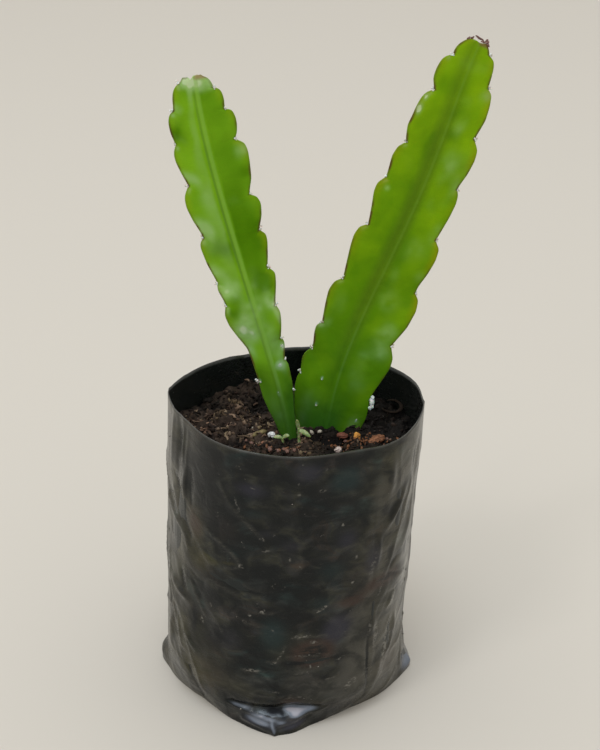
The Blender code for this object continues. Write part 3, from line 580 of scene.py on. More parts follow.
def frontFlap(az, z, radius):
    # the front corner folded in: under a crease lies a nearly level shelf, and from the shelf's
    # edge the film falls steeply to the foot, with ridges fanned up from the foot's point
    flap = bag["flap"]
    gap = turnGap(az, flap["middle"])
    reach = np.where(gap < 0, flap["left"], flap["right"])
    inside = np.clip(1 - (np.abs(gap) / reach) ** 2.2, 0, 1)
    crease = np.interp(gap, *zip(*flap["crease"]))
    shelf = np.interp(gap, *zip(*flap["shelf"]))
    foot = footRadius(az) + flap["proud"] * bump(gap, 0, 9)
    brink = radius + 0.3
    deep = flap["fall"] * (crease - shelf)
    low = foot + (brink - foot) * np.clip(z / shelf, 0, 1)
    high = brink - deep * np.clip((z - shelf) / (crease - shelf), 0, 1)
    past = easeStep(shelf - 0.8, shelf + 0.8, z)
    ledge = low * (1 - past) + high * past
    for rise, width, *points in flap["ridges"]:
        ledge = ledge + rise * bump(nearLine(az, z, points), 0, width)
    above = radius + (0.3 - deep) * np.exp(-(z - crease) / 2.0) + 0.5 * inside * bump(z - crease, 5, 3)
    share = inside ** 0.35
    return np.where(z < crease, ledge, above) * share + radius * (1 - share)


def rimWave(az):
    # slow rise and fall of the cut edge, three sines round the mouth
    t = np.radians(az)
    return 0.5 * np.sin(2 * t + 0.6) + 0.35 * np.sin(5 * t + 1.9) + 0.2 * np.sin(9 * t)


def bagPoint(az, z, radius):
    # cylinder coordinates about a middle that drifts along +X with height
    t = np.radians(az)
    return np.stack([bag["drift"] * z / bag["rim"] + radius * np.cos(t), radius * np.sin(t), z], -1)


def outerRadius(az, z):
    # body plus creases, calmed at the very foot, then the folded front corner
    calm = easeStep(0.3, 4, z) * (1 - roundBump(az, bag["flap"]["calm"], 20) * bump(z, 5, 7))
    return frontFlap(az, z, bagRadius(az, z) + filmRelief(az, z) * calm)


def wallRows(az):
    # heights closer together low down; near the foot the rows follow the flap's crease, so that
    # it stays a clean line
    share = np.linspace(0, 1, bag["outerRows"])
    heights = bag["rim"] * (0.45 * share ** 2.2 + 0.55 * share)
    z = np.repeat(heights[:, None], len(az), 1)
    flap = bag["flap"]
    gap = turnGap(az, flap["middle"])
    follow = (np.interp(gap, *zip(*flap["crease"])) - flap["creaseRow"]) * easeStep(31, 24, np.abs(gap))
    return heights, z + follow * bump(z, flap["creaseRow"], 3.5)


def underside(az, outline):
    # the foot's outline drawn in to the middle, with the seal's cross pressed up a little
    draw = np.linspace(0.08, 0.985, 12)[:, None]
    sheet = outline[None] * draw[..., None]
    cross = sum(roundBump(az, corner, 4) for corner in bag["corners"])
    sheet[..., 2] = 0.35 * np.sin(np.pi * draw) * (0.35 + 0.65 * cross[None]) + 0.12 * np.sin(9 * draw)
    sheet[-1, :, 2] = 0.02
    return sheet


def filmMarks(points):
    # smears, stains and crease lines at the points' own azimuths, and the flanks
    x, y, z = points.T
    az = np.degrees(np.arctan2(y, x - bag["drift"] * z / bag["rim"]))
    marks = {key: smears(az, z, bag[key])
             for key in ("worn", "cold", "hollow", "tight", "veil", "olive", "sheen")}
    # painted shade along the sunken creases; the raised ones pale with wear and a painted highlight
    marks["hollow"] += 0.7 * creaseLines(az, z, -1)
    marks["crest"] = creaseLines(az, z, 1)
    marks["stain"] = sum(strong * roundBump(az, middle, wide) * bump(z, high, tall)
                         for middle, high, wide, tall, strong in bag["stains"])
    marks["flank"] = easeStep(0.45, 0.95, np.abs(sideways(az)))
    marks["lift"] = z
    return marks


def buildBag(finish):
    # one path carried round: base centre, foot, outer wall, lip, inner wall, inside of the base
    n, rim = bag["sectors"], bag["rim"]
    turn = np.arange(n) * 360.0 / n - 180
    az = turn - 20 * np.sin(np.radians(turn + 95))      # closer together at the front
    wave = rimWave(az)
    heights, z = wallRows(az)
    around = np.broadcast_to(az, z.shape)
    outer = bagPoint(around, z + wave * (z / rim) ** 6, outerRadius(around, z))
    innerHeights = np.append(np.linspace(rim, bag["innerHeights"][0], 12), bag["innerHeights"][1:])
    z, around = np.meshgrid(innerHeights, az, indexing="ij")
    behind = 5 * roundBump(around, bag["flap"]["calm"], 9) * (z < 16)      # room for the flap
    inner = bagPoint(around, z + wave * (z / rim) ** 6, outerRadius(around, z) - bag["film"] - behind)
    under = underside(az, outer[0])
    rows = np.concatenate([under, outer, inner])
    count = n * len(rows)
    points = np.concatenate([rows.reshape(-1, 3), [[0, 0, 0.03]], [[0, 0, 1.2]]])
    faces = [gridFaces(len(rows), n), fanFaces(count, 0, n, False), fanFaces(count + 1, count - n, n)]
    marks = filmMarks(points)
    marks["inside"] = (np.arange(len(points)) >= (len(under) + len(outer)) * n).astype(float)
    level = np.concatenate([np.zeros(len(under)), heights, innerHeights])
    # the top rows, where the cut edge gets a painted highlight
    marks["lip"] = np.append(np.repeat(easeStep(rim - 1.5, rim, level), n), (0, 0))
    makePiece("bagFilm", points, faces, finish, marks, swaps=["grow_bag"])


def blackFilm():
    # black polythene: mottled where it touches the mix, scuffed pale with painted glints, brown, teal and
    # violet in places, dusty low down; painted shade in hollows and creases, painted highlights on crease
    # tops and the lip, painted sky reflection on the flap, foot and inner wall, painted floor reflection on
    # the flanks; a coat that comes and goes makes the tight parts glossier
    f = Finish("black poly film", IOR=1.36, Coat_Roughness=0.10, Coat_IOR=1.5,
               Specular_Tint=(0.90, 0.97, 1.0, 1.0))
    lift, stain, cold, crest, worn, hollow = map(f.mark, ("lift", "stain", "cold", "crest", "worn", "hollow"))
    tight, inside, flank, sheen = map(f.mark, ("tight", "inside", "flank", "sheen"))
    wide, mottle = f.noise(34, 3), f.noise(78, 4, 0.55, (1, 1, 1.6), 0.7)
    streak = 0.5 + (f.noise(300, 3, 0.6, (1, 1, 2.2), 0.6) - 0.5) * (1 - 0.65 * flank)
    strips = f.between(0.46, 0.56, f.noise(150, 3, 0.6, (1, 1, 5.0), 0.3))
    soaked = f.between(0.6, 1.3, stain) * (1 - strips)
    brown = f.between(0.30, 0.52, mottle) * f.between(0.1, 0.8, stain) * (1 - 0.8 * soaked)
    broken = f.between(0.44, 0.58, f.noise(620, 3, 0.6, (1, 1, 1.5)))
    scuffAndGlint = f.between(0.60, 0.74, streak) * 0.07 + f.between(0.12, 0.7, worn * (0.25 + 1.3 * broken))
    dust = f.between(0.66, 0.80, f.noise(260, 4, 0.7)) * f.between(150, 0, lift)
    shaded = f.between(0.1, 0.9, hollow)
    base = f.ramp(mottle, ((0.30, (0.0008, 0.0008, 0.0008)), (0.44, (0.0026, 0.0026, 0.0024)),
                           (0.52, (0.0085, 0.0083, 0.0076)), (0.61, (0.020, 0.0194, 0.0172)),
                           (0.75, (0.046, 0.044, 0.037))))
    hue = f.ramp(f.noise(46, 3, 0.5, (1, 1, 1.5), 0.8),
                 ((0.34, (0.48, 0.95, 1.0)), (0.42, (0.78, 0.84, 0.86)), (0.49, (1.0, 0.96, 0.66)),
                  (0.55, (0.76, 0.76, 0.80)), (0.61, (1.0, 0.70, 0.54)), (0.69, (0.82, 0.80, 1.0))))
    colour = f.layers(
        f.blend(0.9, base, hue, "MULTIPLY"),
        # haze low down, a veil of dust and painted reflection, olive dust with painted highlights, painted
        # olive-brown floor reflection on the flanks, then teal and violet
        (f.between(0.42, 0.70, wide) * f.between(110, 10, lift) * 0.5, (0.026, 0.024, 0.014)),
        (f.between(0.1, 1.0, f.mark("veil")) * (0.3 + 0.7 * f.between(0.36, 0.62, mottle)),
         (0.052, 0.048, 0.040)),
        (f.between(0.05, 1.0, f.mark("olive")) * (0.2 + 0.8 * mottle), (0.050, 0.043, 0.014)),
        (flank * 0.35 * f.between(0.25, 0.6, mottle), (0.060, 0.050, 0.021)),
        (f.between(0.05, 1.0, cold) * 0.7, (0.009, 0.022, 0.022)),
        (f.between(-0.05, -1.0, cold) * 0.7, (0.024, 0.022, 0.034)),
        # mix showing through, painted shade in hollows and creases, crease tops pale with wear and painted
        # highlight, scuffs with painted glints, and fine dust
        (soaked * 0.9, (0.0012, 0.0010, 0.0010)),
        (brown * 0.9, (0.034, 0.018, 0.012)),
        (shaded * 0.9, (0.0008, 0.0008, 0.001)),
        (crest * f.between(0.30, 0.62, streak) * 0.7, (0.070, 0.064, 0.050)),
        (scuffAndGlint * 0.85, (0.165, 0.152, 0.130)),
        (dust * 0.20, (0.13, 0.11, 0.09)),
        # painted blue sky reflection on the tight foot, painted sky reflection in the flap's bright panes,
        # then the inner wall in a flat blue-black with a painted sheen and darker under the painted shade,
        # and a painted highlight on the lip
        (f.between(18, 2, lift) * f.between(0.2, 0.6, tight) * 0.7, (0.010, 0.013, 0.028)),
        (f.between(0.1, 0.9, sheen), (0.125, 0.142, 0.178)),
        (f.between(0.9, 1.9, sheen), (0.34, 0.33, 0.37)),
        (inside * 0.9, f.blend(shaded, (0.0105, 0.0125, 0.0118), (0.0035, 0.0055, 0.0040))),
        (f.mark("lip") * 0.55, (0.085, 0.076, 0.062)))
    # the flap's pocket of painted shade: no coat and rougher there
    shadedPit = f.between(0.9, 1.7, hollow)      # only the flap's own hollow is this strong
    rough = 0.17 + 0.10 * wide + 0.14 * f.between(0.45, 0.7, streak) + 0.2 * scuffAndGlint + 0.5 * shadedPit
    coat = f.between(0.15, 0.85, tight + 0.5 * mottle - 0.2) * (1 - 0.8 * shaded)
    coat = coat * (1 - shadedPit) * (1 - 0.5 * flank)
    normal = f.relief(f.noise(78, 2, 0.5, (1, 1, 1.6), 0.7) * (1 - inside), 0.0012, 0.4)
    normal = f.relief(f.noise(900, 3) * (1 - inside), 0.00008, 0.3, normal)
    return f.feed(Base_Color=colour, Roughness=rough, Normal=normal, Coat_Weight=coat)


buildBag(blackFilm())


# the potting mix

soil = {
    "level": 122.0, "middle": 4.2, "seed": 407, "rings": 170, "sectors": 420,
    "heaps": (
        (-30.5, 43.3, 9, 3.0), (-19.1, 48.0, 7, 3.6), (-44, 12, 10, 2.2), (44, 26, 10, 1.8),
        (-34, -32, 9, 1.6), (14, 44, 9, 1.6), (-52, -4, 6, 2.2), (-16.3, 24.5, 5, -2.8),
        (-22.9, 39.6, 4, -2.0), (-10.9, 19.7, 4, -1.5), (-24.4, 8.8, 6, 1.4), (-18.7, 26.5, 3, 1.2),
        (-28.9, 34.5, 2.5, 1.8), (-26.5, -6, 5, 0.8)),
    # large and small clods: how many, how far out, size, height
    "clods": ((150, 56, (2.2, 5.2), (0.7, 2.7)), (420, 58, (1.4, 3.8), (0.8, 2.6))),
    # rows down inside the film: height and gap to the film, then inside its rounded foot
    "skirt": ((117, 0.6), (108, 2.4), (70, 3), (40, 3), (22, 3)), "foot": ((15, 7), (2, 10)),
    # single large fibres: middle, length, heading, tone
    "strands": (
        (-23.8, 9.6, 6.4, -55, 1.0), (-32.6, 5.0, 7, -70, 0.7), (-26.1, -8.4, 6.5, -75, 0.95),
        (-13.0, -2.7, 6, 55, 0.75), (-21.5, 25.7, 7, -64, 0.7), (-17.6, -10.0, 7, -18, 0.65),
        (-35.7, 14.2, 6, 43, 0.55), (-26.4, 3.4, 6.9, 5, 0.75), (-29.4, 14.2, 5.3, 51, 0.6),
        (-14.4, 34.2, 5, 73, 0.6), (-11.9, 17.0, 5.5, 131, 0.5), (-41.3, 16.2, 3.1, -59, 0.95),
        (-18.2, 44.0, 4, -56, 0.9), (-28.4, 37.0, 5, -57, 0.8), (-17.5, -20.0, 5.7, -12, 0.6),
        (-34.0, -4.0, 7, -59, 0.6), (-23.9, -13.6, 3.9, -52, 0.9)),
    "bits": 2000, "bitSize": (0.3, 1.5), "fibres": 620, "fibreLong": (2.2, 6.8),
    "flakes": 420, "lumps": 330,
    # a dark curled strip of bark on the right: middle, radius, width, sweep
    "curl": ((49.5, 23.0, 124.6), 5.0, 1.0, (-150, 110)),
}


def domes(x, y, spots):
    # the highest of many round caps, each the root of one less the squared distance over its size
    height = np.zeros_like(x)
    for cx, cy, size, high in spots:
        inside = np.clip(1 - ((x - cx) ** 2 + (y - cy) ** 2) / size ** 2, 0, 1)
        height = np.maximum(height, high * np.sqrt(inside))
    return height


def soilHeight(x, y):
    # level ground plus heaps, large and small domes, calm beside the shoots, and crumb noise
    rng = np.random.default_rng(soil["seed"])
    large, small = [np.column_stack([4 + rng.uniform(-reach, reach, n), rng.uniform(-reach, reach, n),
                                     rng.uniform(*sizes, n), rng.uniform(*highs, n)])
                    for n, reach, sizes, highs in soil["clods"]]
    z = soil["level"] - (np.hypot(x - 4, y) / 55) ** 6
    for hx, hy, size, high in soil["heaps"]:
        z = z + high * np.exp(-((x - hx) ** 2 + (y - hy) ** 2) / size ** 2)
    calm = 1 - 0.85 * np.exp(-(((x - 2) / 11) ** 2 + ((y + 11) / 6) ** 2))
    xb = x + 0.7 * latticeNoise(x / 2.3 + 50, y / 2.3 + 50, 55)
    yb = y + 0.7 * latticeNoise(x / 2.3 + 50, y / 2.3 + 50, 56)
    grain = layeredNoise(x / 3.0 + 40, y / 3.0 + 40, 51, 4)
    pits = np.clip(layeredNoise(x / 6.5 + 40, y / 6.5 + 40, 58, 2) - 0.15, 0, 1)
    rough = domes(xb, yb, large) + 0.8 * domes(xb, yb, small) - 3.4 * pits
    return z + rough * calm + 0.7 * grain * (0.4 + 0.6 * calm)


def onBed(x, y, lift):
    # places on the mix, so much above it
    return np.column_stack([x, y, soilHeight(x, y) + lift])


def crumbDrift(x, y):
    # how pale the loose bits lie: drifts some eight millimetres wide, duller toward the back
    drift = 0.85 + 1.9 * layeredNoise(x / 8 + 70, y / 8 + 70, 93, 2)
    drift = drift + 0.7 * bump(x, -27, 11) * bump(y, 5, 13)
    return np.clip(drift, 0.2, 1.7) * (1 - 0.45 * easeStep(8, 40, y))


def litShare(x, y):
    # coarse dry bits lie on the left and along the front, damp dark mix on the right; the same share paints
    # light on the left and front and shade on the right
    dry = 1 - easeStep(-4, 24, x + 0.15 * y + 5 * latticeNoise(x / 9 + 30, y / 9 + 30, 57))
    along = 0.7 * bump(x, 34, 13) * bump(y, -10, 6), 0.4 * bump(x, 8, 9) * bump(y, -18, 6)
    return np.clip(dry + along[0] + along[1], 0, 1)


def bagWall(az, z):
    # a line inside the film's wall, so that the mix meets it
    return bagPoint(az, z, outerRadius(az, z) - bag["film"] + 0.12)


def buildSoil(finish):
    # a disc of rings whose outline is the bag's inner wall, then a skirt down inside it
    n, middle = soil["sectors"], soil["middle"]
    az = np.arange(n) * 360.0 / n - 180
    first = bagWall(az, np.full(n, soil["level"]))
    rim = np.clip(soilHeight(first[:, 0], first[:, 1]), 119.5, 124.5)
    edge = bagWall(az, rim)
    share = np.linspace(0.004, 1, soil["rings"])[:, None]
    x = middle + (edge[None, :, 0] - middle) * share
    y = edge[None, :, 1] * share
    z = soilHeight(x, y)
    z[-1] = rim
    skirt = [bagPoint(az, np.full(n, high), outerRadius(az, np.full(n, high)) - slip)
             for high, slip in soil["skirt"]]
    skirt += [bagPoint(az, np.full(n, high), bagRadius(az, np.full(n, 24.0)) - slip)
              for high, slip in soil["foot"]]
    rows = np.concatenate([np.stack([x, y, z], -1), np.array(skirt)])
    count = n * len(rows)
    centre = onBed(np.array([middle]), np.array([0.0]), 0)
    points = np.concatenate([rows.reshape(-1, 3), centre, [[0, 0, 2.0]]])
    faces = [gridFaces(len(rows), n)[:, ::-1], fanFaces(count, 0, n),
             fanFaces(count + 1, count - n, n, False)]
    # the height sets the painted shade in low places; the lit share sets the painted light and shade, with
    # the dampness
    marks = {"high": points[:, 2] - soil["level"], "dry": litShare(points[:, 0], points[:, 1])}
    makePiece("soilBed", points, faces, finish, marks, swaps=["soil"])


def randomTurns(rng, n):
    # evenly spread rotations from unit quaternions, n by 3 by 3
    q = rng.normal(size=(n, 4))
    a, b, c, d = (q / np.linalg.norm(q, axis=1, keepdims=True)).T
    return np.stack([1 - 2 * (c * c + d * d), 2 * (b * c - a * d), 2 * (b * d + a * c),
                     2 * (b * c + a * d), 1 - 2 * (b * b + d * d), 2 * (c * d - a * b),
                     2 * (b * d - a * c), 2 * (c * d + a * b), 1 - 2 * (b * b + c * c)],
                    -1).reshape(n, 3, 3)


def icosahedron():
    # twelve corners from three golden rectangles, and their twenty faces
    g = (1 + 5 ** 0.5) / 2
    corners = np.array([(-1, g, 0), (1, g, 0), (-1, -g, 0), (1, -g, 0), (0, -1, g), (0, 1, g),
                        (0, -1, -g), (0, 1, -g), (g, 0, -1), (g, 0, 1), (-g, 0, -1), (-g, 0, 1)])
    faces = np.array([(0, 11, 5), (0, 5, 1), (0, 1, 7), (0, 7, 10), (0, 10, 11), (1, 5, 9),
                      (5, 11, 4), (11, 10, 2), (10, 7, 6), (7, 1, 8), (3, 9, 4), (3, 4, 2),
                      (3, 2, 6), (3, 6, 8), (3, 8, 9), (4, 9, 5), (2, 4, 11), (6, 2, 10),
                      (8, 6, 7), (9, 8, 1)])
    return corners / np.linalg.norm(corners[0]), faces


def scatterBits(rng, centres, sizes, rough):
    # icosahedra with jittered corners, each turned at random and set at its centre
    corners, faces = icosahedron()
    n = len(centres)
    shape = corners[None] * (1 + rough * rng.uniform(-1, 1, (n, 12, 1))) * sizes[:, None, :]
    points = np.einsum("nij,nkj->nki", randomTurns(rng, n), shape) + centres[:, None]
    index = faces[None] + 12 * np.arange(n)[:, None, None]
    return points.reshape(-1, 3), [index.reshape(-1, 3)]


def scatterFibres(rng, centres, lengths, widths):
    # three-sided strips bent along arcs: the heading turns evenly from end to end, ends closed
    n = len(centres)
    t = np.linspace(-0.5, 0.5, 6)
    curl = rng.normal(0, 0.9, n)[:, None]
    heading = rng.uniform(0, math.tau, n)[:, None] + curl * t * 2
    rise = rng.normal(0, 0.35, n)[:, None] + rng.uniform(-0.6, 0.6, n)[:, None] * t * 2
    step = np.stack([np.cos(heading) * np.cos(rise), np.sin(heading) * np.cos(rise), np.sin(rise)], -1)
    path = np.cumsum(step, 1) * (lengths / 6)[:, None, None]
    path += centres[:, None] - path.mean(1, keepdims=True)
    side = np.stack([-np.sin(heading), np.cos(heading), 0 * heading], -1)
    up = np.cross(step, side)
    girth = (widths[:, None] * (1 - 1.5 * np.abs(t) ** 2))[..., None, None]
    a = np.array([0, 2.3, 3.98])
    ring = side[:, :, None] * np.cos(a)[:, None] + 0.45 * up[:, :, None] * np.sin(a)[:, None]
    points = path[:, :, None] + 0.5 * girth * ring
    ends = np.array([(2, 1, 0), (15, 16, 17)])
    hop = 18 * np.arange(n)[:, None, None]
    return points.reshape(-1, 3), [(gridFaces(6, 3)[None] + hop).reshape(-1, 4),
                                   (ends[None] + hop).reshape(-1, 3)]


def soilSpots(rng, n, spread):
    # random places, even over the disc out to a share of its edge
    az = rng.uniform(-180, 180, n)
    share = np.sqrt(rng.uniform(0, 1, n)) * spread
    edge = bagWall(az, np.full(n, soil["level"]))
    return soil["middle"] + (edge[:, 0] - soil["middle"]) * share, edge[:, 1] * share


def looseStrands():
    # the bark strip, carried round part of a ring, and the large fibres, each along a shallow
    # arc; all thin toward both ends
    (cx, cy, cz), radius, width, sweepFromTo = soil["curl"]
    a = np.radians(np.linspace(*sweepFromTo, 24))
    bark = np.stack([cx + radius * np.cos(a), cy + radius * np.sin(a), cz + 0.9 * np.sin(a * 1.3)], -1)
    lines = [(bark, width)]
    t = np.linspace(-0.5, 0.5, 24)
    rng = np.random.default_rng(12)
    for x, y, long, heading, _ in soil["strands"]:
        turn = math.radians(heading)
        bow = rng.uniform(-0.7, 0.7) * (1 - 4 * t * t) + 0.35 * np.sin(9 * t + x)
        px = x + long * t * math.cos(turn) - bow * math.sin(turn)
        py = y + long * t * math.sin(turn) + bow * math.cos(turn)
        high = soilHeight(np.array([x]), np.array([y]))[0] + 0.7
        pz = high + 0.5 * np.cos(np.pi * t) + 0.8 * rng.uniform(-1, 1) * t
        lines.append((np.stack([px, py, pz], -1), 0.62))
    thin = 0.2 + 0.8 * np.sin(np.linspace(0, np.pi, 24)) ** 0.5
    strands = joined([(sweep(path, width * thin, 8, 0.55, (0, 0, 1)).reshape(-1, 3), [gridFaces(24, 8)])
                      for path, width in lines])
    return strands, np.repeat([0.3] + [row[-1] for row in soil["strands"]], 24 * 8)


def buildCrumbs(finish):
    # thousands of loose bits and fibres in one mesh, resting on the bed at their own height
    rng = np.random.default_rng(88)
    n = soil["bits"]
    x, y = soilSpots(rng, n, 0.965)
    small, large = soil["bitSize"]
    size = small + (large - small) * rng.uniform(0, 1, n) ** 2.6
    sizes = size[:, None] * rng.uniform(0.45, 1.3, (n, 3))
    parts = [scatterBits(rng, onBed(x, y, 0.2 * size), sizes, 0.42)]
    # random tone, with painted shade toward the right through the lit share
    shade = (0.06 + rng.uniform(0, 0.84, n) ** 1.6) * (0.25 + 0.75 * litShare(x, y))
    tones = [np.repeat(shade * crumbDrift(x, y), 12)]
    # bent fibres
    n = soil["fibres"]
    x, y = soilSpots(rng, n, 0.93)
    lit = litShare(x, y)
    long = rng.uniform(*soil["fibreLong"], n) * (0.6 + 0.4 * lit)
    wide = 0.35 + 1.1 * rng.uniform(0, 1, n) ** 1.6
    parts.append(scatterFibres(rng, onBed(x, y, 0.35), long, wide))
    # random tone, with painted shade toward the right through the lit share
    tones.append(np.repeat(rng.uniform(0.1, 0.8, n) ** 1.3 * (0.2 + 0.8 * lit) * crumbDrift(x, y), 18))
    # flat bark flakes, most of them on the dry side
    x, y = soilSpots(rng, soil["flakes"], 0.93)
    keep = rng.uniform(0, 1, len(x)) < 0.12 + litShare(x, y)
    x, y = x[keep], y[keep]
    sizes = rng.uniform((0.7, 0.45, 0.18), (2.3, 1.15, 0.5), (len(x), 3))
    parts.append(scatterBits(rng, onBed(x, y, 0.3), sizes, 0.35))
    # random tone, with painted shade toward the right through the lit share
    shade = rng.uniform(0.15, 0.8, len(x)) * (0.35 + 0.65 * litShare(x, y))
    tones.append(np.repeat(shade * crumbDrift(x, y), 12))
    # larger lumps of bark and coir, in drifts on the dry side
    x, y = soilSpots(rng, 6 * soil["lumps"], 0.93)
    drift = latticeNoise(x / 7 + 60, y / 7 + 60, 91)
    keep = rng.uniform(0, 1, len(x)) < litShare(x, y) * np.clip(0.5 + drift, 0, 1)
    x, y = x[keep][:soil["lumps"]], y[keep][:soil["lumps"]]
    sizes = rng.uniform((0.9, 0.5, 0.4), (2.2, 1.3, 0.9), (len(x), 3))
    parts.append(scatterBits(rng, onBed(x, y, 0.2), sizes, 0.45))
    tones.append(np.repeat(rng.uniform(0.4, 0.8, len(x)) * crumbDrift(x, y), 12))
    strands, strandTones = looseStrands()
    points, faces = joined([*parts, strands])
    marks = {"tone": np.concatenate([*tones, strandTones])}
    makePiece("soilCrumbs", points, faces, finish, marks)


def darkMix():
    # peat and bark dust: painted shade near black in the low places, redder and paler where lit and dry,
    # darker where damp and under painted shade
    f = Finish("moist potting mix", Specular_IOR_Level=0.2)
    grain = f.noise(360, 4, 0.62)
    shadedDamp = f.ramp(grain, ((0.3, (0.004, 0.0029, 0.0021)), (0.55, (0.0066, 0.0046, 0.0033)),
                          (0.78, (0.012, 0.008, 0.006))))
    litLoose = f.ramp(grain, ((0.3, (0.021, 0.0135, 0.0095)), (0.5, (0.041, 0.027, 0.019)),
                           (0.64, (0.060, 0.041, 0.030)), (0.8, (0.095, 0.069, 0.051))))
    shadedPit = f.between(1.6, -1.4, f.mark("high") + f.noise(160) * 1.2 - 0.6)
    colour = f.blend(shadedPit * 0.92, f.blend(f.mark("dry"), shadedDamp, litLoose), (0.003, 0.0019, 0.0013))
    return f.feed(Base_Color=colour, Roughness=0.75 + 0.2 * grain, Normal=f.relief(grain, 0.0012, 0.9))


def crumbMix():
    # crumbs, root hairs and coir: dark brown through red brown to straw
    f = Finish("crumbs and fibre", Specular_IOR_Level=0.25)
    grain = f.noise(900, 3, 0.6)
    colour = f.ramp(f.mark("tone"), ((0.0, (0.008, 0.0054, 0.004)), (0.3, (0.027, 0.017, 0.012)),
                                     (0.55, (0.067, 0.042, 0.031)), (0.8, (0.14, 0.096, 0.070)),
                                     (1.0, (0.27, 0.205, 0.155))))
    grained = f.ramp(grain, ((0.3, (0.22, 0.19, 0.17)), (0.7, (1.0, 0.95, 0.9))))
    patchy = f.ramp(f.noise(90, 2), ((0.36, (1.0, 0.74, 0.62)), (0.5, (1.0, 0.92, 0.82)),
                                     (0.62, (1.0, 1.0, 0.66))))
    colour = f.blend(0.8, f.blend(0.4, colour, grained, "MULTIPLY"), patchy, "MULTIPLY")
    return f.feed(Base_Color=colour, Roughness=0.7 + 0.2 * grain, Normal=f.relief(grain, 0.0004, 0.6))


buildSoil(darkMix())
buildCrumbs(crumbMix())


# loose chips and grains bedded in the surface

chips = {   # place, half sizes, turn, tip, seed, colour, CAD node
    "yellowChip": ((-11.2, -2.6, 123.2), (5.4, 1.7, 1.2), 56, 8, 11, (0.20, 0.155, 0.062), "bark_chip_1"),
    "redChip": ((26.0, -5.2, 123.3), (2.9, 1.9, 1.5), 14, 10, 12, (0.17, 0.055, 0.032), "bark_chip_2"),
    "orangeChip": ((32.4, -6.4, 123.5), (2.0, 1.6, 1.8), 70, 0, 13, (0.70, 0.30, 0.055), "bark_chip_3"),
    "rustChip": ((41.2, -9.6, 123.4), (4.6, 2.5, 1.8), 32, -8, 14, (0.24, 0.095, 0.042), "bark_chip_4"),
    "whiteGrain": ((-5.9, -5.0, 123.5), (1.8, 1.5, 1.6), 20, 0, 15, (0.80, 0.80, 0.78), "perlite_grain_1"),
    "pinkGrain": ((23.6, -19.0, 123.2), (1.9, 1.6, 1.5), 60, 0, 16, (0.66, 0.52, 0.47), "perlite_grain_2"),
}
grains = {
    # place and size of the pale grains, then of the pinkish crumbs by the front rim
    "pale": (
        (12.3, -3.9, 124.2, 1.5), (15.9, -2.9, 124.2, 1.15), (-14.6, 1.1, 124.2, 0.5),
        (24.5, -18.6, 123.6, 0.8)),
    "pink": (
        (-9.9, -15.7, 0.9), (-6.3, -18.6, 1.1), (-2.7, -20.5, 1.2), (1.2, -21.5, 1.2), (4.6, -20.8, 0.9),
        (-13.5, -14.0, 0.9), (-17.0, -12.0, 0.8), (27.5, -5.9, 1.0), (44.8, -10.9, 1.1),
        (36.3, -10.9, 0.9), (46.0, -7.0, 0.8), (-0.6, -18.4, 0.8)),
    # how many pale flecks; drifts of coloured crumbs: from, to, spread, how many, tone
    "flecks": 60,
    "drifts": (((23, -8), (47, -11), (2.5, 2.6), 130, 0.74), ((-17, -12), (6, -20), (2.5, 2.0), 60, 0.9)),
}


def lump(half, seed, rows=28, columns=44):
    # a sphere grid pushed in and out by layered noise, its poles closed by single points
    theta = np.linspace(0, np.pi, rows + 2)[1:-1, None]
    phi = np.arange(columns)[None] * math.tau / columns
    unit = np.stack([np.sin(theta) * np.cos(phi), np.sin(theta) * np.sin(phi),
                     np.cos(theta) + 0 * phi], -1)
    unit = np.concatenate([unit.reshape(-1, 3), [[0, 0, 1]], [[0, 0, -1]]])
    n = layeredNoise(unit[:, 0] * 1.3 + 9, unit[:, 1] * 1.3 + 1.7 * unit[:, 2] + 9, seed, 4)
    facet = np.round(unit * 2.2) / 2.2
    shape = unit * (0.97 + 0.16 * n[:, None]) * 0.72 + facet * 0.28
    count = rows * columns
    return shape * np.array(half), [gridFaces(rows, columns)[:, ::-1], fanFaces(count, 0, columns),
                                    fanFaces(count + 1, count - columns, columns, False)]


def turned(points, turn, tip):
    # tip about Y, then turn about Z
    a, b = math.radians(turn), math.radians(tip)
    tipBy = np.array([(math.cos(b), 0, math.sin(b)), (0, 1, 0), (-math.sin(b), 0, math.cos(b))])
    turnBy = np.array([(math.cos(a), -math.sin(a), 0), (math.sin(a), math.cos(a), 0), (0, 0, 1)])
    return points @ (turnBy @ tipBy).T


def chipFinish(name, colour):
    # split bark and clay: darker and paler along a stretched grain
    f = Finish(name, Specular_IOR_Level=0.35)
    grain = f.noise(560, 4, 0.65, (1, 1, 2.2))
    dark = tuple(c * 0.25 for c in colour)
    pale = tuple(min(1.0, c * 1.7 + 0.04) for c in colour)
    tint = f.ramp(grain, ((0.3, dark), (0.52, colour), (0.74, pale)))
    return f.feed(Base_Color=tint, Roughness=0.6 + 0.3 * grain, Normal=f.relief(grain, 0.0005, 0.7))


for chipName, (place, half, turn, tip, seed, colour, node) in chips.items():
    points, faces = lump(half, seed)
    makePiece(chipName, turned(points, turn, tip) + np.array(place), faces,
              chipFinish(chipName + " finish", colour), swaps=[node])


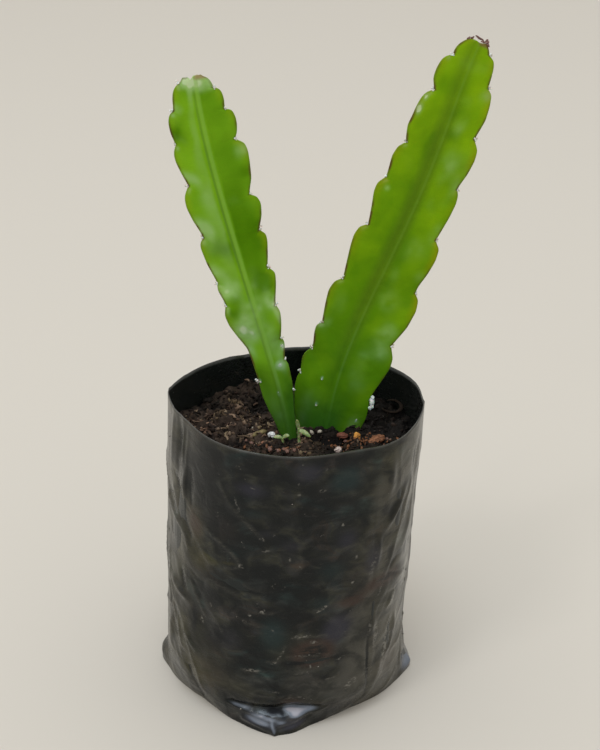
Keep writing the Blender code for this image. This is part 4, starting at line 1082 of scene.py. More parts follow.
def buildPaleBits(finish):
    # pale and pinkish crumbs at their own places, flecks anywhere, and drifts along lines
    rng = np.random.default_rng(5)
    pale, pink = np.array(grains["pale"]), np.array(grains["pink"])
    pink = np.column_stack([onBed(pink[:, 0], pink[:, 1], 0.4), pink[:, 2]])
    n = grains["flecks"]
    x, y = soilSpots(rng, n, 0.93)
    spots = [pale, pink, np.column_stack([onBed(x, y, 0.4), rng.uniform(0.18, 0.42, n)])]
    tones = [np.zeros(len(pale)), np.ones(len(pink)), rng.uniform(0.3, 0.6, n)]
    for start, end, spread, count, shade in grains["drifts"]:
        share = rng.uniform(0, 1, (count, 1))
        at = np.array(start) * (1 - share) + np.array(end) * share
        at = at + rng.normal(0, 1, (count, 2)) * spread
        size = 0.3 + 0.8 * rng.uniform(0, 1, count) ** 2
        spots.append(np.column_stack([onBed(at[:, 0], at[:, 1], 0.3), size]))
        tones.append(np.clip(shade + rng.normal(0, 0.09, count), 0.4, 1))
    spots = np.concatenate(spots)
    sizes = spots[:, 3:4] * rng.uniform(0.55, 1.25, (len(spots), 3))
    points, faces = scatterBits(rng, spots[:, :3], sizes, 0.4)
    makePiece("paleBits", points, faces, finish, {"tone": np.repeat(np.concatenate(tones), 12)})


def paleMineral():
    # by tone: white, through earth brown and rust, to pinkish clay, dulled by a fine grain
    f = Finish("pale grains")
    grain = f.noise(1100, 3)
    colour = f.ramp(f.mark("tone"), ((0.0, (0.56, 0.50, 0.41)), (0.45, (0.16, 0.12, 0.09)),
                                     (0.75, (0.19, 0.064, 0.016)), (0.86, (0.28, 0.11, 0.040)),
                                     (1.0, (0.25, 0.13, 0.10))))
    dulled = f.ramp(grain, ((0.3, (0.4, 0.36, 0.33)), (0.65, (1.0, 1.0, 1.0))))
    colour = f.blend(0.6, colour, dulled, "MULTIPLY")
    return f.feed(Base_Color=colour, Roughness=0.6 + 0.2 * grain, Normal=f.relief(grain, 0.0003, 0.6))


buildPaleBits(paleMineral())


# the two flat stems

stems = {
    "stemLeft": {
        "node": "stem_left", "slot": "stem_left_green", "baseEnd": 46, "baseMid": (0, 30),
        "lowTint": (0.97, 1.0, 1.6),
        "curve": (3.122, -0.592, 3.92, 1.394, -26.891, -16.445),
        "plane": -4.0, "lean": -6.0, "fold": 0.17, "z": (86.0, 284.6),
        "left": (
            (-34, -1.4), (-28, -2.2), (-15, -3.3), (-5, -4.0), (3.3, -4.4), (8.6, -5.4), (14.4, -6.8),
            (21.6, -8.1), (30.0, -8.1, 1), (36.3, -8.2), (45.9, -8.8), (52.3, -11.4), (58.7, -13.4),
            (64.0, -13.9), (69.0, -12.1, 1), (70.8, -12.3), (75.7, -13.6), (78.6, -13.0, 1),
            (79.6, -12.9), (87.7, -14.7), (95.8, -15.2), (98.4, -14.6), (100.0, -12.8, 1), (102.2, -12.9),
            (108.5, -14.7), (114.5, -15.8), (118.5, -15.5), (121.2, -14.1), (123.1, -12.4, 1),
            (128.8, -14.0), (133.8, -15.1), (137.0, -15.0), (138.7, -14.4), (140.7, -13.1, 1),
            (141.6, -13.3), (145.4, -14.1), (148.5, -14.1), (150.5, -13.9), (153.1, -12.9),
            (154.1, -11.2, 1), (155.0, -10.8), (158.6, -10.5), (161.7, -9.8), (164.2, -7.9),
            (164.6, -6.6, 1), (165.4, -6.0), (167.4, -3.4)),
        "right": (
            (-34, 1.4), (-28, 2.0), (-15, 2.5), (-5, 2.7), (4.2, 3.5), (11.1, 4.1), (16.2, 4.8),
            (22.3, 5.8, 1), (25.1, 6.3), (30.6, 6.6), (35.4, 6.8), (37.3, 5.8, 1), (43.9, 7.5),
            (46.3, 7.8), (47.6, 6.7, 1), (52.0, 8.2), (56.1, 9.3), (60.3, 9.9), (63.3, 8.8, 1),
            (65.6, 9.3), (72.4, 11.5), (77.4, 12.5), (80.8, 10.0, 1), (84.8, 11.3), (91.9, 13.1),
            (95.4, 13.3), (97.6, 11.0, 1), (103.7, 13.8), (109.0, 14.9), (112.4, 14.0), (113.9, 11.1, 1),
            (120.7, 13.8), (127.2, 14.7), (132.2, 15.1), (135.8, 14.5), (138.7, 10.9, 1), (140.1, 12.2),
            (144.1, 13.2), (147.7, 13.3), (151.1, 12.4), (151.9, 9.6, 1), (155.7, 10.1), (158.7, 9.8),
            (160.9, 8.8), (161.4, 6.5, 1), (163.4, 6.5), (166.0, 4.9), (167.3, 1.7)),
        "core": 1.15, "neck": 0.9, "rib": 0.50, "groove": -0.24, "pillow": 0.36,
        # waves of the blade, toward the back where above 0: along, side share, reaches, height
        "bulges": (
            (66, -0.75, 9, 0.45, -1.0), (50, -0.6, 6, 0.5, 0.9), (58, 0.8, 6, 0.4, -1.0),
            (44, 0.7, 5, 0.5, 0.8), (36, -0.7, 6, 0.5, -0.8), (84, -0.7, 9, 0.4, 0.6)),
        # how the tip rises and dips: out, height, reach
        "tip": ((-2.0, -1.3, 0.8), (-5.2, 0.7, 0.7), (-3.6, -0.4, 0.5), (2.4, 0.35, 0.6), (0.8, 0.2, 0.6)),
        # pale bloom with painted sheen and highlights where above 0, painted shade below: along, out,
        # reach along, reach out, strength
        "patches": (
            (85, -12, 3.5, 2.5, 0.2), (75, -9, 4.8, 5, 0.95), (60, -4.5, 8, 2.6, 0.8),
            (67, 6.4, 5, 2.2, 0.35), (60, 8.6, 3, 1.2, 0.9), (56, 9.0, 2, 1.0, 0.8),
            (44.4, 6.6, 1.7, 0.9, 1.2), (35.8, 3.0, 1.9, 2.0, 1.1), (30, -7.6, 1.2, 0.9, 1.4),
            (23.6, -0.4, 1.3, 0.8, 1.0), (166, -3, 2.6, 4.5, 1.0), (164, 2.5, 3, 3, 0.5),
            (70.4, -6.8, 4.5, 3.0, -0.8), (74, 6.4, 6, 4, -0.8), (22, 5.0, 10, 2.0, -0.9),
            (14, -2.5, 8, 3, 0.45), (100, -11, 8, 3, 0.4), (54, -8, 5, 6, 0.95), (64, 0, 7, 5, 0.4),
            (74, 2, 4, 1.8, 0.2), (134, 13, 3.5, 3, 0.7), (164, 6, 3, 3, 0.7), (154, -10, 3, 3, 0.45),
            (44, -8, 4, 3, 0.6), (54, 3, 4, 3, 0.25), (26, -6, 6, 3, -0.45), (34, -6, 6, 4, -0.6),
            (64, 2.5, 4, 2.5, 0.2), (79, 4, 7, 5, 0.15), (114, 6, 4, 6, 0.15), (94, -8, 5, 6, -0.6),
            (93, -4, 5, 4, -0.35), (96, 12.5, 7, 4, -1.2), (74, 8, 3, 3, -0.7), (145, -12, 5, 5, -0.9),
            (64, -10, 3, 4, -0.7), (65, 8.5, 3.6, 2.6, 0.85), (124, 12.5, 3, 3, -0.6),
            (165, 0.5, 3, 2.5, 0.45), (46, 4, 8, 6, 0.3), (36, 4.5, 4, 2, 0.35), (14, 3.5, 14, 2.2, -0.8)),
        # the bloom band beside the rib and the bloom spot in each lobe, both partly painted sheen; the
        # painted shade of the right half
        "milk": (0.50, 0.7), "shadeHalf": 0.85,
        # painted light, with some random tone: how much of the lit green: everywhere, on the left, on the
        # right, toward the tip
        "glow": (0.30, 0.30, 0.0, 0.3),
        # lit and deep are lit and unlit copies of one green, dark the painted shade, pale the bloom with
        # painted sheen, and the rib's painted highlight and groove shade
        "tones": {"lit": (
                      0.182, 0.385, 0.010), "deep": (
                                                    0.118, 0.285, 0.006), "dark": (
                                                                                   0.068, 0.185, 0.001),
                  "pale": (
                      0.270, 0.460, 0.130), "olive": (
                                                     0.235, 0.340, 0.003), "base": (
                                                                                     0.030, 0.108, 0.008),
                  "ribLight": (
                      0.210, 0.400, 0.055), "ribDark": (
                                                         0.090, 0.205, 0.024), "tipEdge": (
                                                                                           0.30, 0.19,
                                                                                           0.10)},
        # painted rib lines: highlight on the ridge, middle, half width, strength; shade in the groove,
        # middle, half width, strength
        "ribLines": ((0.2, 1.2, 0.55), (-1.2, 0.95, 0.6))},
    "stemRight": {
        "node": "stem_right", "slot": "stem_right_green", "baseEnd": 24, "baseMid": (-3.5, 9),
        "lowTint": (0.84, 0.97, 2.2),
        "curve": (7.681, 6.702, -19.817, -0.356, 44.392, 44.415),
        "plane": 4.0, "lean": 8.0, "fold": -0.06, "z": (85.0, 297.5),
        "left": (
            (-35, -3.0), (-28, -7.0), (-15, -11.0), (-6, -13.2), (0.9, -14.2), (9.4, -16.4),
            (17.8, -18.0), (21.6, -18.2), (24.8, -17.4, 1), (26.6, -17.5), (30.8, -18.4), (33.5, -17.9),
            (36.4, -15.6, 1), (38.6, -15.9), (43.5, -17.3), (47.0, -17.7), (48.7, -15.8, 1),
            (57.8, -17.9), (63.0, -18.8), (67.3, -17.9), (69.7, -15.0, 1), (77.3, -16.7), (84.5, -18.3),
            (89.8, -19.1), (94.1, -18.4), (96.3, -15.4, 1), (104.9, -17.4), (110.7, -18.9),
            (114.7, -18.9), (118.4, -16.3, 1), (123.4, -16.9), (128.2, -17.5), (132.8, -16.6),
            (135.5, -14.0, 1), (138.0, -15.0), (143.0, -16.1), (146.6, -15.6), (150.8, -15.3),
            (154.9, -14.6), (157.8, -13.2), (159.5, -10.4, 1), (163.9, -12.5), (167.9, -12.6),
            (171.8, -11.9), (173.9, -10.3), (174.6, -8.2, 1), (176.8, -8.6), (179.3, -7.9), (182.2, -5.6),
            (183.2, -3.6)),
        "right": (
            (-35, 3.0), (-28, 6.5), (-15, 10.5), (-6, 13.0), (0.8, 14.9), (8.0, 16.8), (14.0, 16.9),
            (18.4, 16.2, 1), (23.3, 17.3), (31.6, 19.5), (38.4, 20.6), (43.5, 20.0), (49.1, 17.0, 1),
            (60.1, 20.2), (68.4, 20.8), (73.7, 19.5), (75.8, 16.8, 1), (79.3, 16.7), (86.0, 17.8),
            (93.1, 18.2), (98.3, 17.4), (100.9, 14.4, 1), (112.2, 15.8), (118.1, 16.1), (122.0, 15.4),
            (123.7, 14.0, 1), (125.3, 14.1), (131.2, 15.5), (137.4, 16.1), (141.9, 15.6),
            (145.6, 12.7, 1), (154.2, 14.4), (160.2, 14.1), (165.0, 13.1), (166.8, 10.7, 1),
            (170.9, 10.4), (175.6, 9.7), (178.6, 8.5), (179.8, 5.8, 1), (182.2, 4.7), (183.9, 2.5)),
        "core": 1.2, "neck": 0.5, "rib": 0.10, "groove": -0.22, "pillow": 0.30,
        "bulges": (
            (30, -0.8, 6, 0.4, 0.7), (128, 0.5, 14, 0.4, -0.5), (90, 0.6, 16, 0.4, -0.5),
            (155, -0.8, 6, 0.4, -0.6), (60, 0.3, 16, 0.5, 0.4)),
        "tip": ((0.3, -0.5, 1.6),),
        "patches": (
            (48.5, -17, 2.6, 1.4, 1.0), (49, -13.5, 3, 2.5, 0.35), (24, -7.2, 0.75, 0.6, 1.5),
            (11.6, -6.8, 0.75, 0.6, 1.5), (7.4, 12.4, 0.75, 0.6, 1.2), (150, -13.7, 3, 1.3, 1.0),
            (155, -12.8, 1.3, 0.8, 1.5), (149.6, -14.0, 1.4, 1.0, 1.7), (115, -14.2, 1.6, 1.2, 0.8),
            (149, 5, 5, 3, 0.5), (134, 6.5, 5, 4, 0.7), (126, 5, 4, 3, 0.2), (115, 7, 5, 4, 0.25),
            (104, 13, 4, 3, 0.5), (94, 7, 6, 4.5, 0.5), (80, 5, 4, 3, 0.3), (68, 7, 6, 5, 0.45),
            (52, 12, 7, 5, 0.4), (40, 8, 6, 4, 0.3), (160, 4, 4, 3, 0.25), (128, -9, 6, 3, 0.12),
            (58, -12, 6, 4, 0.25), (14, -9, 5, 4, 0.35), (20, 6, 10, 5, -0.4), (24, 12, 6, 4, 0.15),
            (84, 15, 4, 3, 0.4), (130, 13, 7, 3, 0.4), (154, 2, 4, 4, -0.5), (4, -11, 6, 3.5, 0.4),
            (4, 10.5, 6, 3.5, 0.4), (28, 7, 7, 4, 0.3), (44, 15, 4, 3, 0.5), (54, 14, 5, 4, 0.3),
            (124, 13, 4, 3, 0.35), (164, 12, 3, 3, 0.8), (174, 0, 4, 8, 0.3), (6, -1, 8, 8, -0.5),
            (32, -2, 16, 5, -0.6), (74, 3, 5, 4, -0.5), (90, -4, 14, 4, -0.35), (88, 4, 10, 3, -0.4),
            (118, -4, 14, 4, -0.4), (140, -6, 10, 6, -0.5), (144, 3, 4, 5, -0.5)),
        # no bloom band or spot and no shaded half; painted light through glow, and the tones as on the left
        # stem
        "milk": (0.0, 0.0), "shadeHalf": 0, "glow": (0.06, 0.12, 0.10, 0.66),
        "tones": {"lit": (
                      0.190, 0.350, 0.003), "deep": (
                                                    0.092, 0.222, 0.002), "dark": (
                                                                                   0.052, 0.150, 0.002),
                  "pale": (
                      0.205, 0.365, 0.060), "olive": (
                                                     0.290, 0.265, 0.003), "base": (
                                                                                     0.030, 0.115, 0.006),
                  "ribLight": (
                      0.175, 0.320, 0.035), "ribDark": (
                                                         0.078, 0.150, 0.006), "tipEdge": (
                                                                                           0.16, 0.10,
                                                                                           0.04)},
        "ribLines": ((0.0, 0.8, 0.18), (-1.4, 5.6, 0.7))},
}
blade = {"rows": 420, "columns": 26}     # along a stem, and from a margin to the rib


class Rib:
    # a stem's middle line: x is a polynomial of (z - 200) / 100, y leans back with a power of
    # the height over the mix, and s is the length from the mix along it
    def __init__(self, spec):
        self.spec = spec
        ground = soil["level"]
        z = np.linspace(spec["z"][0] - 3, spec["z"][1] + 8, 3000)
        x = np.polyval(spec["curve"], (z - 200) / 100)
        y = spec["plane"] + spec["lean"] * np.clip((z - ground) / 170, 0, None) ** 1.6
        s = np.concatenate([[0], np.cumsum(np.hypot(np.diff(x), np.diff(z)))])
        self.s = s - np.interp(ground, z, s)
        self.lines = (x, y, z, np.gradient(x, s), np.gradient(z, s))

    def place(self, s, w, depth, share=0.0):
        # a point: along the rib, out across the blade, through its thickness; the blade folds
        # about its rib, waves toward its margins and bulges in bells
        x, y, z, tx, tz = (np.interp(s, self.s, line) for line in self.lines)
        wide = np.clip((s - 4) / 30, 0, 1)
        wave = 0.7 * np.sin(s / 7.3 + self.spec["plane"]) * np.clip(np.abs(w) / 16, 0, 1) ** 2
        bend = self.spec["fold"] * (np.sqrt(w * w + 1) - 1) * wide + wave * wide
        for at, side, reach, across, high in self.spec["bulges"]:
            bend = bend + high * bump(s, at, reach) * bump(share, side, across)
        return np.stack([x + w * tz, y + bend + depth, z - w * tx], -1)


def margin(table, rows):
    # the margin's line sampled by length, a bell average between notches and sharp at each one
    s, w = np.array([row[:2] for row in table], float).T
    s = np.maximum.accumulate(s + np.arange(len(s)) * 1e-3)
    run = np.concatenate([[0], np.cumsum(np.hypot(np.diff(s), np.diff(w)))])
    fine = np.arange(0, run[-1], 0.1)
    sharp = [np.interp(fine, run, v) for v in (s, w)]
    bell = np.exp(-(np.arange(-30, 31) / 14.0) ** 2)
    soft = [np.convolve(np.pad(v, 30, "edge"), bell / bell.sum(), "valid") for v in sharp]
    notchRun = np.array([run[i] for i, row in enumerate(table) if len(row) > 2])
    near = bump(np.abs(fine[:, None] - notchRun[None]).min(1), 0, 0.7)
    at = np.linspace(0, fine[-1], rows)
    at[np.abs(at[None] - notchRun[:, None]).argmin(1)] = notchRun
    at.sort()
    lineS, lineW = (np.interp(at, fine, raw * near + even * (1 - near)) for raw, even in zip(sharp, soft))
    return lineS, lineW, np.interp(notchRun, run, s)


def lobePhase(s, share, notches):
    # 0 to 1 from each notch to the next, read along a vein that climbs toward the margin
    climbed = s + 7 * (1 - share)
    marks = np.concatenate([[-40], notches, [notches[-1] + 12]])
    k = np.clip(np.searchsorted(marks, climbed) - 1, 0, len(marks) - 2)
    return np.clip((climbed - marks[k]) / (marks[k + 1] - marks[k]), 0, 1)


def bloom(spec, s, w, share, phase, edge):
    # where the skin is paler, riper or in painted shade: a band of bloom and painted sheen beside the rib on
    # the left, a painted sheen spot low in each lobe, painted highlights on the lobes' shoulders, olive
    # toward each lobe's upper edge, painted light through glow, then the named patches
    u = np.abs(share)
    left = share < 0
    drift = latticeNoise(s / 9 + 20, w / 7 + 20, 81)
    band, spot = spec["milk"]
    upper, narrow = easeStep(70, 92, s), easeStep(126, 142, s)
    outerEnd = 1 - easeStep(0.38 - 0.06 * narrow, 0.74 - 0.24 * narrow, u)
    milk = band * upper * left * easeStep(0.10, 0.26, u) * outerEnd * (0.8 + 0.3 * drift)
    lobeSpot = bump(phase, 0.27, 0.2) * easeStep(0.4, 0.72, u) * (1 - easeStep(0.93, 1.0, u))
    milk = milk + spot * (1 - 0.7 * narrow) * upper * left * lobeSpot
    milk = milk + 0.12 * bump(phase, 0.8, 0.2) * easeStep(0.4, 0.8, u)
    milk = milk + 0.6 * left * easeStep(0.84, 0.96, phase) * bump(edge, 1.3, 1.2) * easeStep(30, 46, s)
    # painted shade on the right half
    shade = spec["shadeHalf"] * (1 - left) * easeStep(0.05, 0.16, u) * (1 - 0.5 * easeStep(0.55, 1.0, u))
    shade = shade * easeStep(60, 92, s) * (1 - 0.6 * easeStep(100, 134, s)) + 0.2 * np.clip(drift, 0, 1)
    evenly, onLeft, onRight, upward = spec["glow"]
    glow = evenly + onLeft * left + onRight * (1 - left) * easeStep(0.05, 0.5, u)
    glow = glow + upward * easeStep(60, 165, s) + 0.28 * layeredNoise(s / 11 + 5, w / 8 + 40, 87, 3)
    broken = 1 + 0.4 * layeredNoise(s / 5.2 + 9, w / 4.0 + 30, 83, 2)
    for at, out, reach, across, strength in spec["patches"]:
        spread = bump(s + 1.2 * drift, at, reach) * bump(w, out, across) * (broken if reach > 2 else 1)
        milk = milk + max(strength, 0) * spread
        shade = shade + max(-strength, 0) * spread
    ripe = easeStep(0.25, 0.75, phase) * (1 - easeStep(0.4, 4.2, edge)) * easeStep(34, 70, s)
    ripe = ripe * (0.85 + 0.5 * drift) * np.where(left, 0.6, 0.65)
    # brown on the margin: boldest on the lower part of each lobe, fainter on the right
    rim = (0.35 + 0.65 * (1 - easeStep(0.3, 0.8, phase))) * np.where(left, 1, 0.75)
    rim = rim * (0.75 + 0.5 * latticeNoise(s / 2.2 + 9, 0 * s, 85)) * easeStep(14, 40, s)
    tip = easeStep(s.max() - 2.2, s.max() - 0.8, s) * easeStep(-1.5, 1.0, w)
    return {"milk": np.clip(milk, 0, 1.6), "ripe": np.clip(ripe, 0, 1), "shade": np.clip(shade, 0, 1),
            "rim": np.clip(rim, 0, 1), "glow": np.clip(glow, 0, 1), "tip": tip}


def bladeGrid(spec):
    # the front of the blade, each row from margin to margin: place along and out, share of the
    # half width, distance from the margin, phase in its lobe and half width
    leftLine = margin(spec["left"], blade["rows"])
    rightLine = margin(spec["right"], blade["rows"])
    middle = (leftLine[0] + rightLine[0]) / 2
    inward = np.array([0, 0.07, 0.18, 0.34, 0.55])      # close columns round the margin's nose
    halves = []
    for side, (marginS, marginW, notches) in ((-1, leftLine), (1, rightLine)):
        wide = np.abs(marginW)[:, None]
        edge = np.minimum(inward[None], wide * 0.4)
        even = np.linspace(1, 0, blade["columns"] - 4)[None, 1:] ** 1.15
        share = np.concatenate([1 - edge / wide, (1 - edge[:, -1:] / wide) * even], 1)
        s = middle[:, None] + (marginS - middle)[:, None] * share ** 2
        phase = lobePhase(s, share, notches)
        w, edge = marginW[:, None] * share, wide * (1 - share)
        halves.append((s, w, share * side, edge, phase, wide + 0 * share))
    return [np.concatenate([a, b[:, ::-1][:, 1:]], 1) for a, b in zip(*halves)]


def buildStem(name, finish):
    # the blade's rows run over the front and back again behind; half thickness is a rounded
    # nose at the margin, a swell to the rib, pillows between the notches and the rib's own line
    spec = stems[name]
    rib = Rib(spec)
    s, w, share, edge, phase, wide = bladeGrid(spec)
    end = s.max()
    for out, high, reach in spec["tip"]:
        s = s + high * bump(w, out, reach) * easeStep(end - 5, end, s)
    swell = 1 - np.abs(share) ** 1.6
    neck = np.clip(1 - (s + 2) / 34, 0, 1) ** 2
    nose = 0.5 * np.sqrt(np.clip(1 - (1 - np.clip(edge / 0.55, 0, 1)) ** 2, 0, 1))
    half = nose + (spec["core"] + spec["neck"] * neck - 0.5) * swell
    pillow = spec["pillow"] * np.sin(np.pi * phase ** 0.8) ** 2 * np.abs(share) ** 0.7
    pillow = pillow * np.clip(edge / 2.5, 0, 1)
    grooves = bump(w, -1.5, 0.7) + 0.4 * bump(w, 1.8, 0.8)
    ribLine = (spec["rib"] * bump(w, 0.2, 1.0) + spec["groove"] * grooves) * np.clip(wide / 4, 0, 1)
    grain = 0.06 * layeredNoise(s / 2.6 + 60, w / 2.6 + 60, 71, 3) * np.clip(edge / 1.5, 0, 1)
    thick = half + (pillow + ribLine + grain) * np.clip(edge / 1.2, 0, 1)

    def around(front, back):
        return np.concatenate([front, back[:, ::-1][:, 1:-1]], 1)

    loop = around(rib.place(s, w, -thick, share), rib.place(s, w, thick, share))
    rows, size = loop.shape[:2]
    # each end row closes as a strip between its front and back columns
    across = s.shape[1]
    k = np.arange(1, across - 2)
    strip = np.stack([k, k + 1, size - k - 1, size - k], -1)
    first, last = np.array([(0, 1, size - 1)]), np.array([(across - 1, across, across - 2)])
    top = (rows - 1) * size
    faces = [gridFaces(rows, size), strip[:, ::-1], first[:, ::-1], last[:, ::-1],
             strip + top, first + top, last + top]
    fields = {"along": s, "out": w, "edge": edge, **bloom(spec, s, w, share, phase, edge)}
    marks = {key: around(field, field) for key, field in fields.items()}
    makePiece(name, loop.reshape(-1, 3), faces, finish, marks, swaps=[spec["node"]])
    return rib


def stemGreen(name):
    # waxy green skin from its own marks: painted light and shade on the halves, pale bloom with painted
    # sheen and highlights, olive lobe edges, the rib's painted highlight and groove shade, duller toward the
    # mix, and a thin brown line on the margin
    spec = stems[name]
    tones = spec["tones"]
    f = Finish(name + " skin", Subsurface_Weight=0.10, Subsurface_Scale=0.002,
               Subsurface_Radius=(0.5, 1.0, 0.2), Specular_IOR_Level=0.03, Coat_Roughness=0.28)
    along, out, edge, milk = map(f.mark, ("along", "out", "edge", "milk"))
    fleck = f.noise(420, 4, 0.6)
    (lightAt, lightHalf, lightShare), (darkAt, shadeHalf, darkShare) = spec["ribLines"]
    shadeLine = f.between(shadeHalf, shadeHalf * 0.15, abs(out - darkAt)) * f.between(20, 70, along)
    highlightLine = f.between(lightHalf, lightHalf * 0.3, abs(out - lightAt))
    middle, reach = spec["baseMid"]
    low = f.between(spec["baseEnd"], spec["baseEnd"] * 0.1, along)
    low = low * f.between(reach * 1.6, reach * 0.6, abs(out - middle))
    rim = f.between(1.35, 0.35, edge + fleck * 0.5 - 0.25) * f.mark("rim")
    colour = f.layers(
        f.blend(f.mark("glow"), tones["deep"], tones["lit"]),
        (f.mark("shade"), tones["dark"]),
        (shadeLine * darkShare * (1 - 0.35 * f.between(135, 165, along)), tones["ribDark"]),
        (f.between(0.05, 0.95, milk) * (0.72 + 0.3 * fleck), tones["pale"]),
        # painted white highlights where the bloom mark runs past 1
        (f.between(0.95, 1.35, milk) * 0.6, (0.58, 0.68, 0.42)),
        (highlightLine * lightShare, tones["ribLight"]),
        (f.mark("ripe") * 0.6, tones["olive"]),
        (low * 0.85, tones["base"]))
    colour = f.blend(f.between(70, 30, along) * 0.8, colour, spec["lowTint"], "MULTIPLY")
    colour = f.layers(colour, (f.mark("tip") * 0.8, tones["tipEdge"]), (rim * 0.9, (0.085, 0.034, 0.014)))
    rough = 0.40 + 0.16 * f.noise(160, 4) - 0.08 * f.between(0.2, 1.0, milk)
    normal = f.relief(f.noise(95, 3), 0.0012, 0.35)
    normal = f.relief(f.noise(1400, 2), 0.00008, 0.5, normal)
    return f.feed(Base_Color=colour, Roughness=rough, Normal=normal,
                  Coat_Weight=f.between(0.25, 1.1, milk) * 0.55)


ribs = {name: buildStem(name, stemGreen(name)) for name in stems}


# areoles, wool and dry scraps

tufts = {
    "size": 1.1, "beads": 9, "bristles": 2,
    # along, across, half long, half wide: lumps of the woolly blob low on the broad stem
    "wool": (
        (18.2, 17.6, 2.0, 1.1), (16.0, 18.0, 1.5, 0.9), (20.2, 17.4, 1.1, 0.8), (14.6, 17.4, 0.9, 0.7)),
    # dry brown scales on the broad stem's tip: along, across, long, wide, turn
    "scraps": (
        (184.5, -0.9, 2.1, 0.5, 31), (184.8, 2.3, 0.9, 0.7, -50), (184.2, 2.6, 1.0, 0.7, 15),
        (183.5, 3.6, 1.0, 0.6, 45), (183.9, 1.2, 1.1, 0.6, 20), (182.8, -5.0, 1.0, 0.5, -35),
        (183.6, -3.6, 0.9, 0.4, -20), (184.6, 3.0, 0.6, 0.4, 85)),
    # woolly dots on the blades' faces: stem, along, across, size
    "faceSpots": (
        ("stemLeft", 44.4, 6.2, 0.8), ("stemLeft", 30.0, -7.2, 0.7), ("stemLeft", 36.4, 3.4, 0.5),
        ("stemLeft", 23.6, -0.4, 0.4), ("stemRight", 24.0, -7.2, 0.55), ("stemRight", 11.6, -6.8, 0.55),
        ("stemRight", 7.4, 12.4, 0.5)),
}


def buildAreoles(finish):
    # a small cushion of woolly beads at each notch and face spot, with short bristles fanned out
    rng = np.random.default_rng(17)
    spots, outs, sizes = [], [], []
    for name, spec in stems.items():
        for side, way in (("left", -1), ("right", 1)):
            s, w = np.array([row[:2] for row in spec[side] if len(row) > 2 and row[0] > 4], float).T
            spots.append(ribs[name].place(s + 0.2, w + 0.2 * way, 0 * s - 0.05, way + 0 * s))
            outs.append(np.tile([way * 0.75, 0, 0.66], (len(s), 1)))
            sizes.append(np.full(len(s), tufts["size"]))
    for name, s, w, size in tufts["faceSpots"]:
        spots.append(ribs[name].place(s, w, -1.35)[None])
        outs.append(np.array([[0, -1, 0.3]]))
        sizes.append(np.array([size * 0.7]))
    spots, outs, sizes = np.concatenate(spots), np.concatenate(outs), np.concatenate(sizes)
    n, beads, m = len(spots), tufts["beads"], tufts["bristles"]
    eachSize = sizes[:, None, None]
    centres = spots[:, None] + rng.normal(0, 0.34, (n, beads, 3)) * eachSize + outs[:, None] * 0.15 * eachSize
    beadSizes = np.repeat(sizes, beads)[:, None] * rng.uniform(0.28, 0.5, (n * beads, 3))
    wool = scatterBits(rng, centres.reshape(-1, 3), beadSizes, 0.3)
    # bristles: three-sided needles from the cushion
    way = outs[:, None] + rng.normal(0, 0.45, (n, m, 3))
    way = (way / np.linalg.norm(way, axis=-1, keepdims=True)).reshape(-1, 3)
    long = (rng.uniform(0.7, 1.5, (n, m, 1)) * eachSize).reshape(-1, 1)
    foot = np.repeat(spots, m, 0)
    u = np.cross(way, [0.3, 0.9, 0.1])
    u /= np.linalg.norm(u, axis=1, keepdims=True)
    v = np.cross(way, u)
    ring = [foot + 0.07 * (math.cos(a) * u + math.sin(a) * v) for a in (0, math.tau / 3, 2 * math.tau / 3)]
    needles = np.stack([*ring, foot + way * long], 1).reshape(-1, 3)
    one = np.array([(0, 1, 3), (1, 2, 3), (2, 0, 3), (2, 1, 0)])
    needleFaces = (one[None] + 4 * np.arange(n * m)[:, None, None]).reshape(-1, 3)
    points, faces = joined([wool, (needles, [needleFaces])])
    tone = np.concatenate([np.repeat(rng.uniform(0, 0.75, n * beads), 12), np.full(len(needles), 1.0)])
    makePiece("areoles", points, faces, finish, {"tone": tone})


def buildWool(finish):
    # the low woolly blob: a few lumps run together, fuzzed with small beads
    rng = np.random.default_rng(23)
    parts = []
    for k, (s, w, long, wide) in enumerate(tufts["wool"]):
        middle = ribs["stemRight"].place(s, w, -0.3, 1.0)
        half = np.array([wide, wide * 0.9, long])
        points, faces = lump(half, 30 + k, 12, 18)
        ball = rng.normal(size=(26, 3))
        ball /= np.linalg.norm(ball, axis=1, keepdims=True)
        fuzz = scatterBits(rng, middle + ball * half * 0.9, rng.uniform(0.15, 0.38, (26, 3)), 0.3)
        parts += [(points + middle, faces), fuzz]
    points, faces = joined(parts)
    makePiece("lowWool", points, faces, finish, {"tone": np.full(len(points), -0.1)})


def buildScraps(finish):
    # thin dry flakes: lens shapes curled along their length
    t = np.linspace(-1, 1, 15)[:, None]
    phi = np.arange(12)[None] * math.tau / 12
    girth = np.sqrt(np.clip(1 - t ** 2, 0, 1)) + 0.02
    parts = []
    for k, (s, w, long, wide, turn) in enumerate(tufts["scraps"]):
        x, y = long * t + 0 * phi, wide * girth * np.cos(phi) * 0.48
        z = 0.45 * girth * np.sin(phi) + 0.25 * np.sin(2.6 * t + k) * t
        a = math.radians(turn)
        flake = np.stack([x * math.cos(a) + z * math.sin(a), y, z * math.cos(a) - x * math.sin(a)], -1)
        points, faces = closedTube(flake)
        parts.append((points + ribs["stemRight"].place(s, w, -0.1), faces))
    points, faces = joined(parts)
    makePiece("dryTip", points, faces, finish)


def woolFinish():
    # by tone: white wool, grey wool, brown bristles
    f = Finish("areole wool", Subsurface_Weight=0.2, Subsurface_Scale=0.001)
    colour = f.ramp(f.mark("tone"), ((0.0, (0.80, 0.82, 0.78)), (0.5, (0.62, 0.60, 0.54)),
                                     (1.0, (0.30, 0.19, 0.12))))
    return f.feed(Base_Color=colour, Normal=f.relief(f.noise(2500), 0.0002, 0.5))


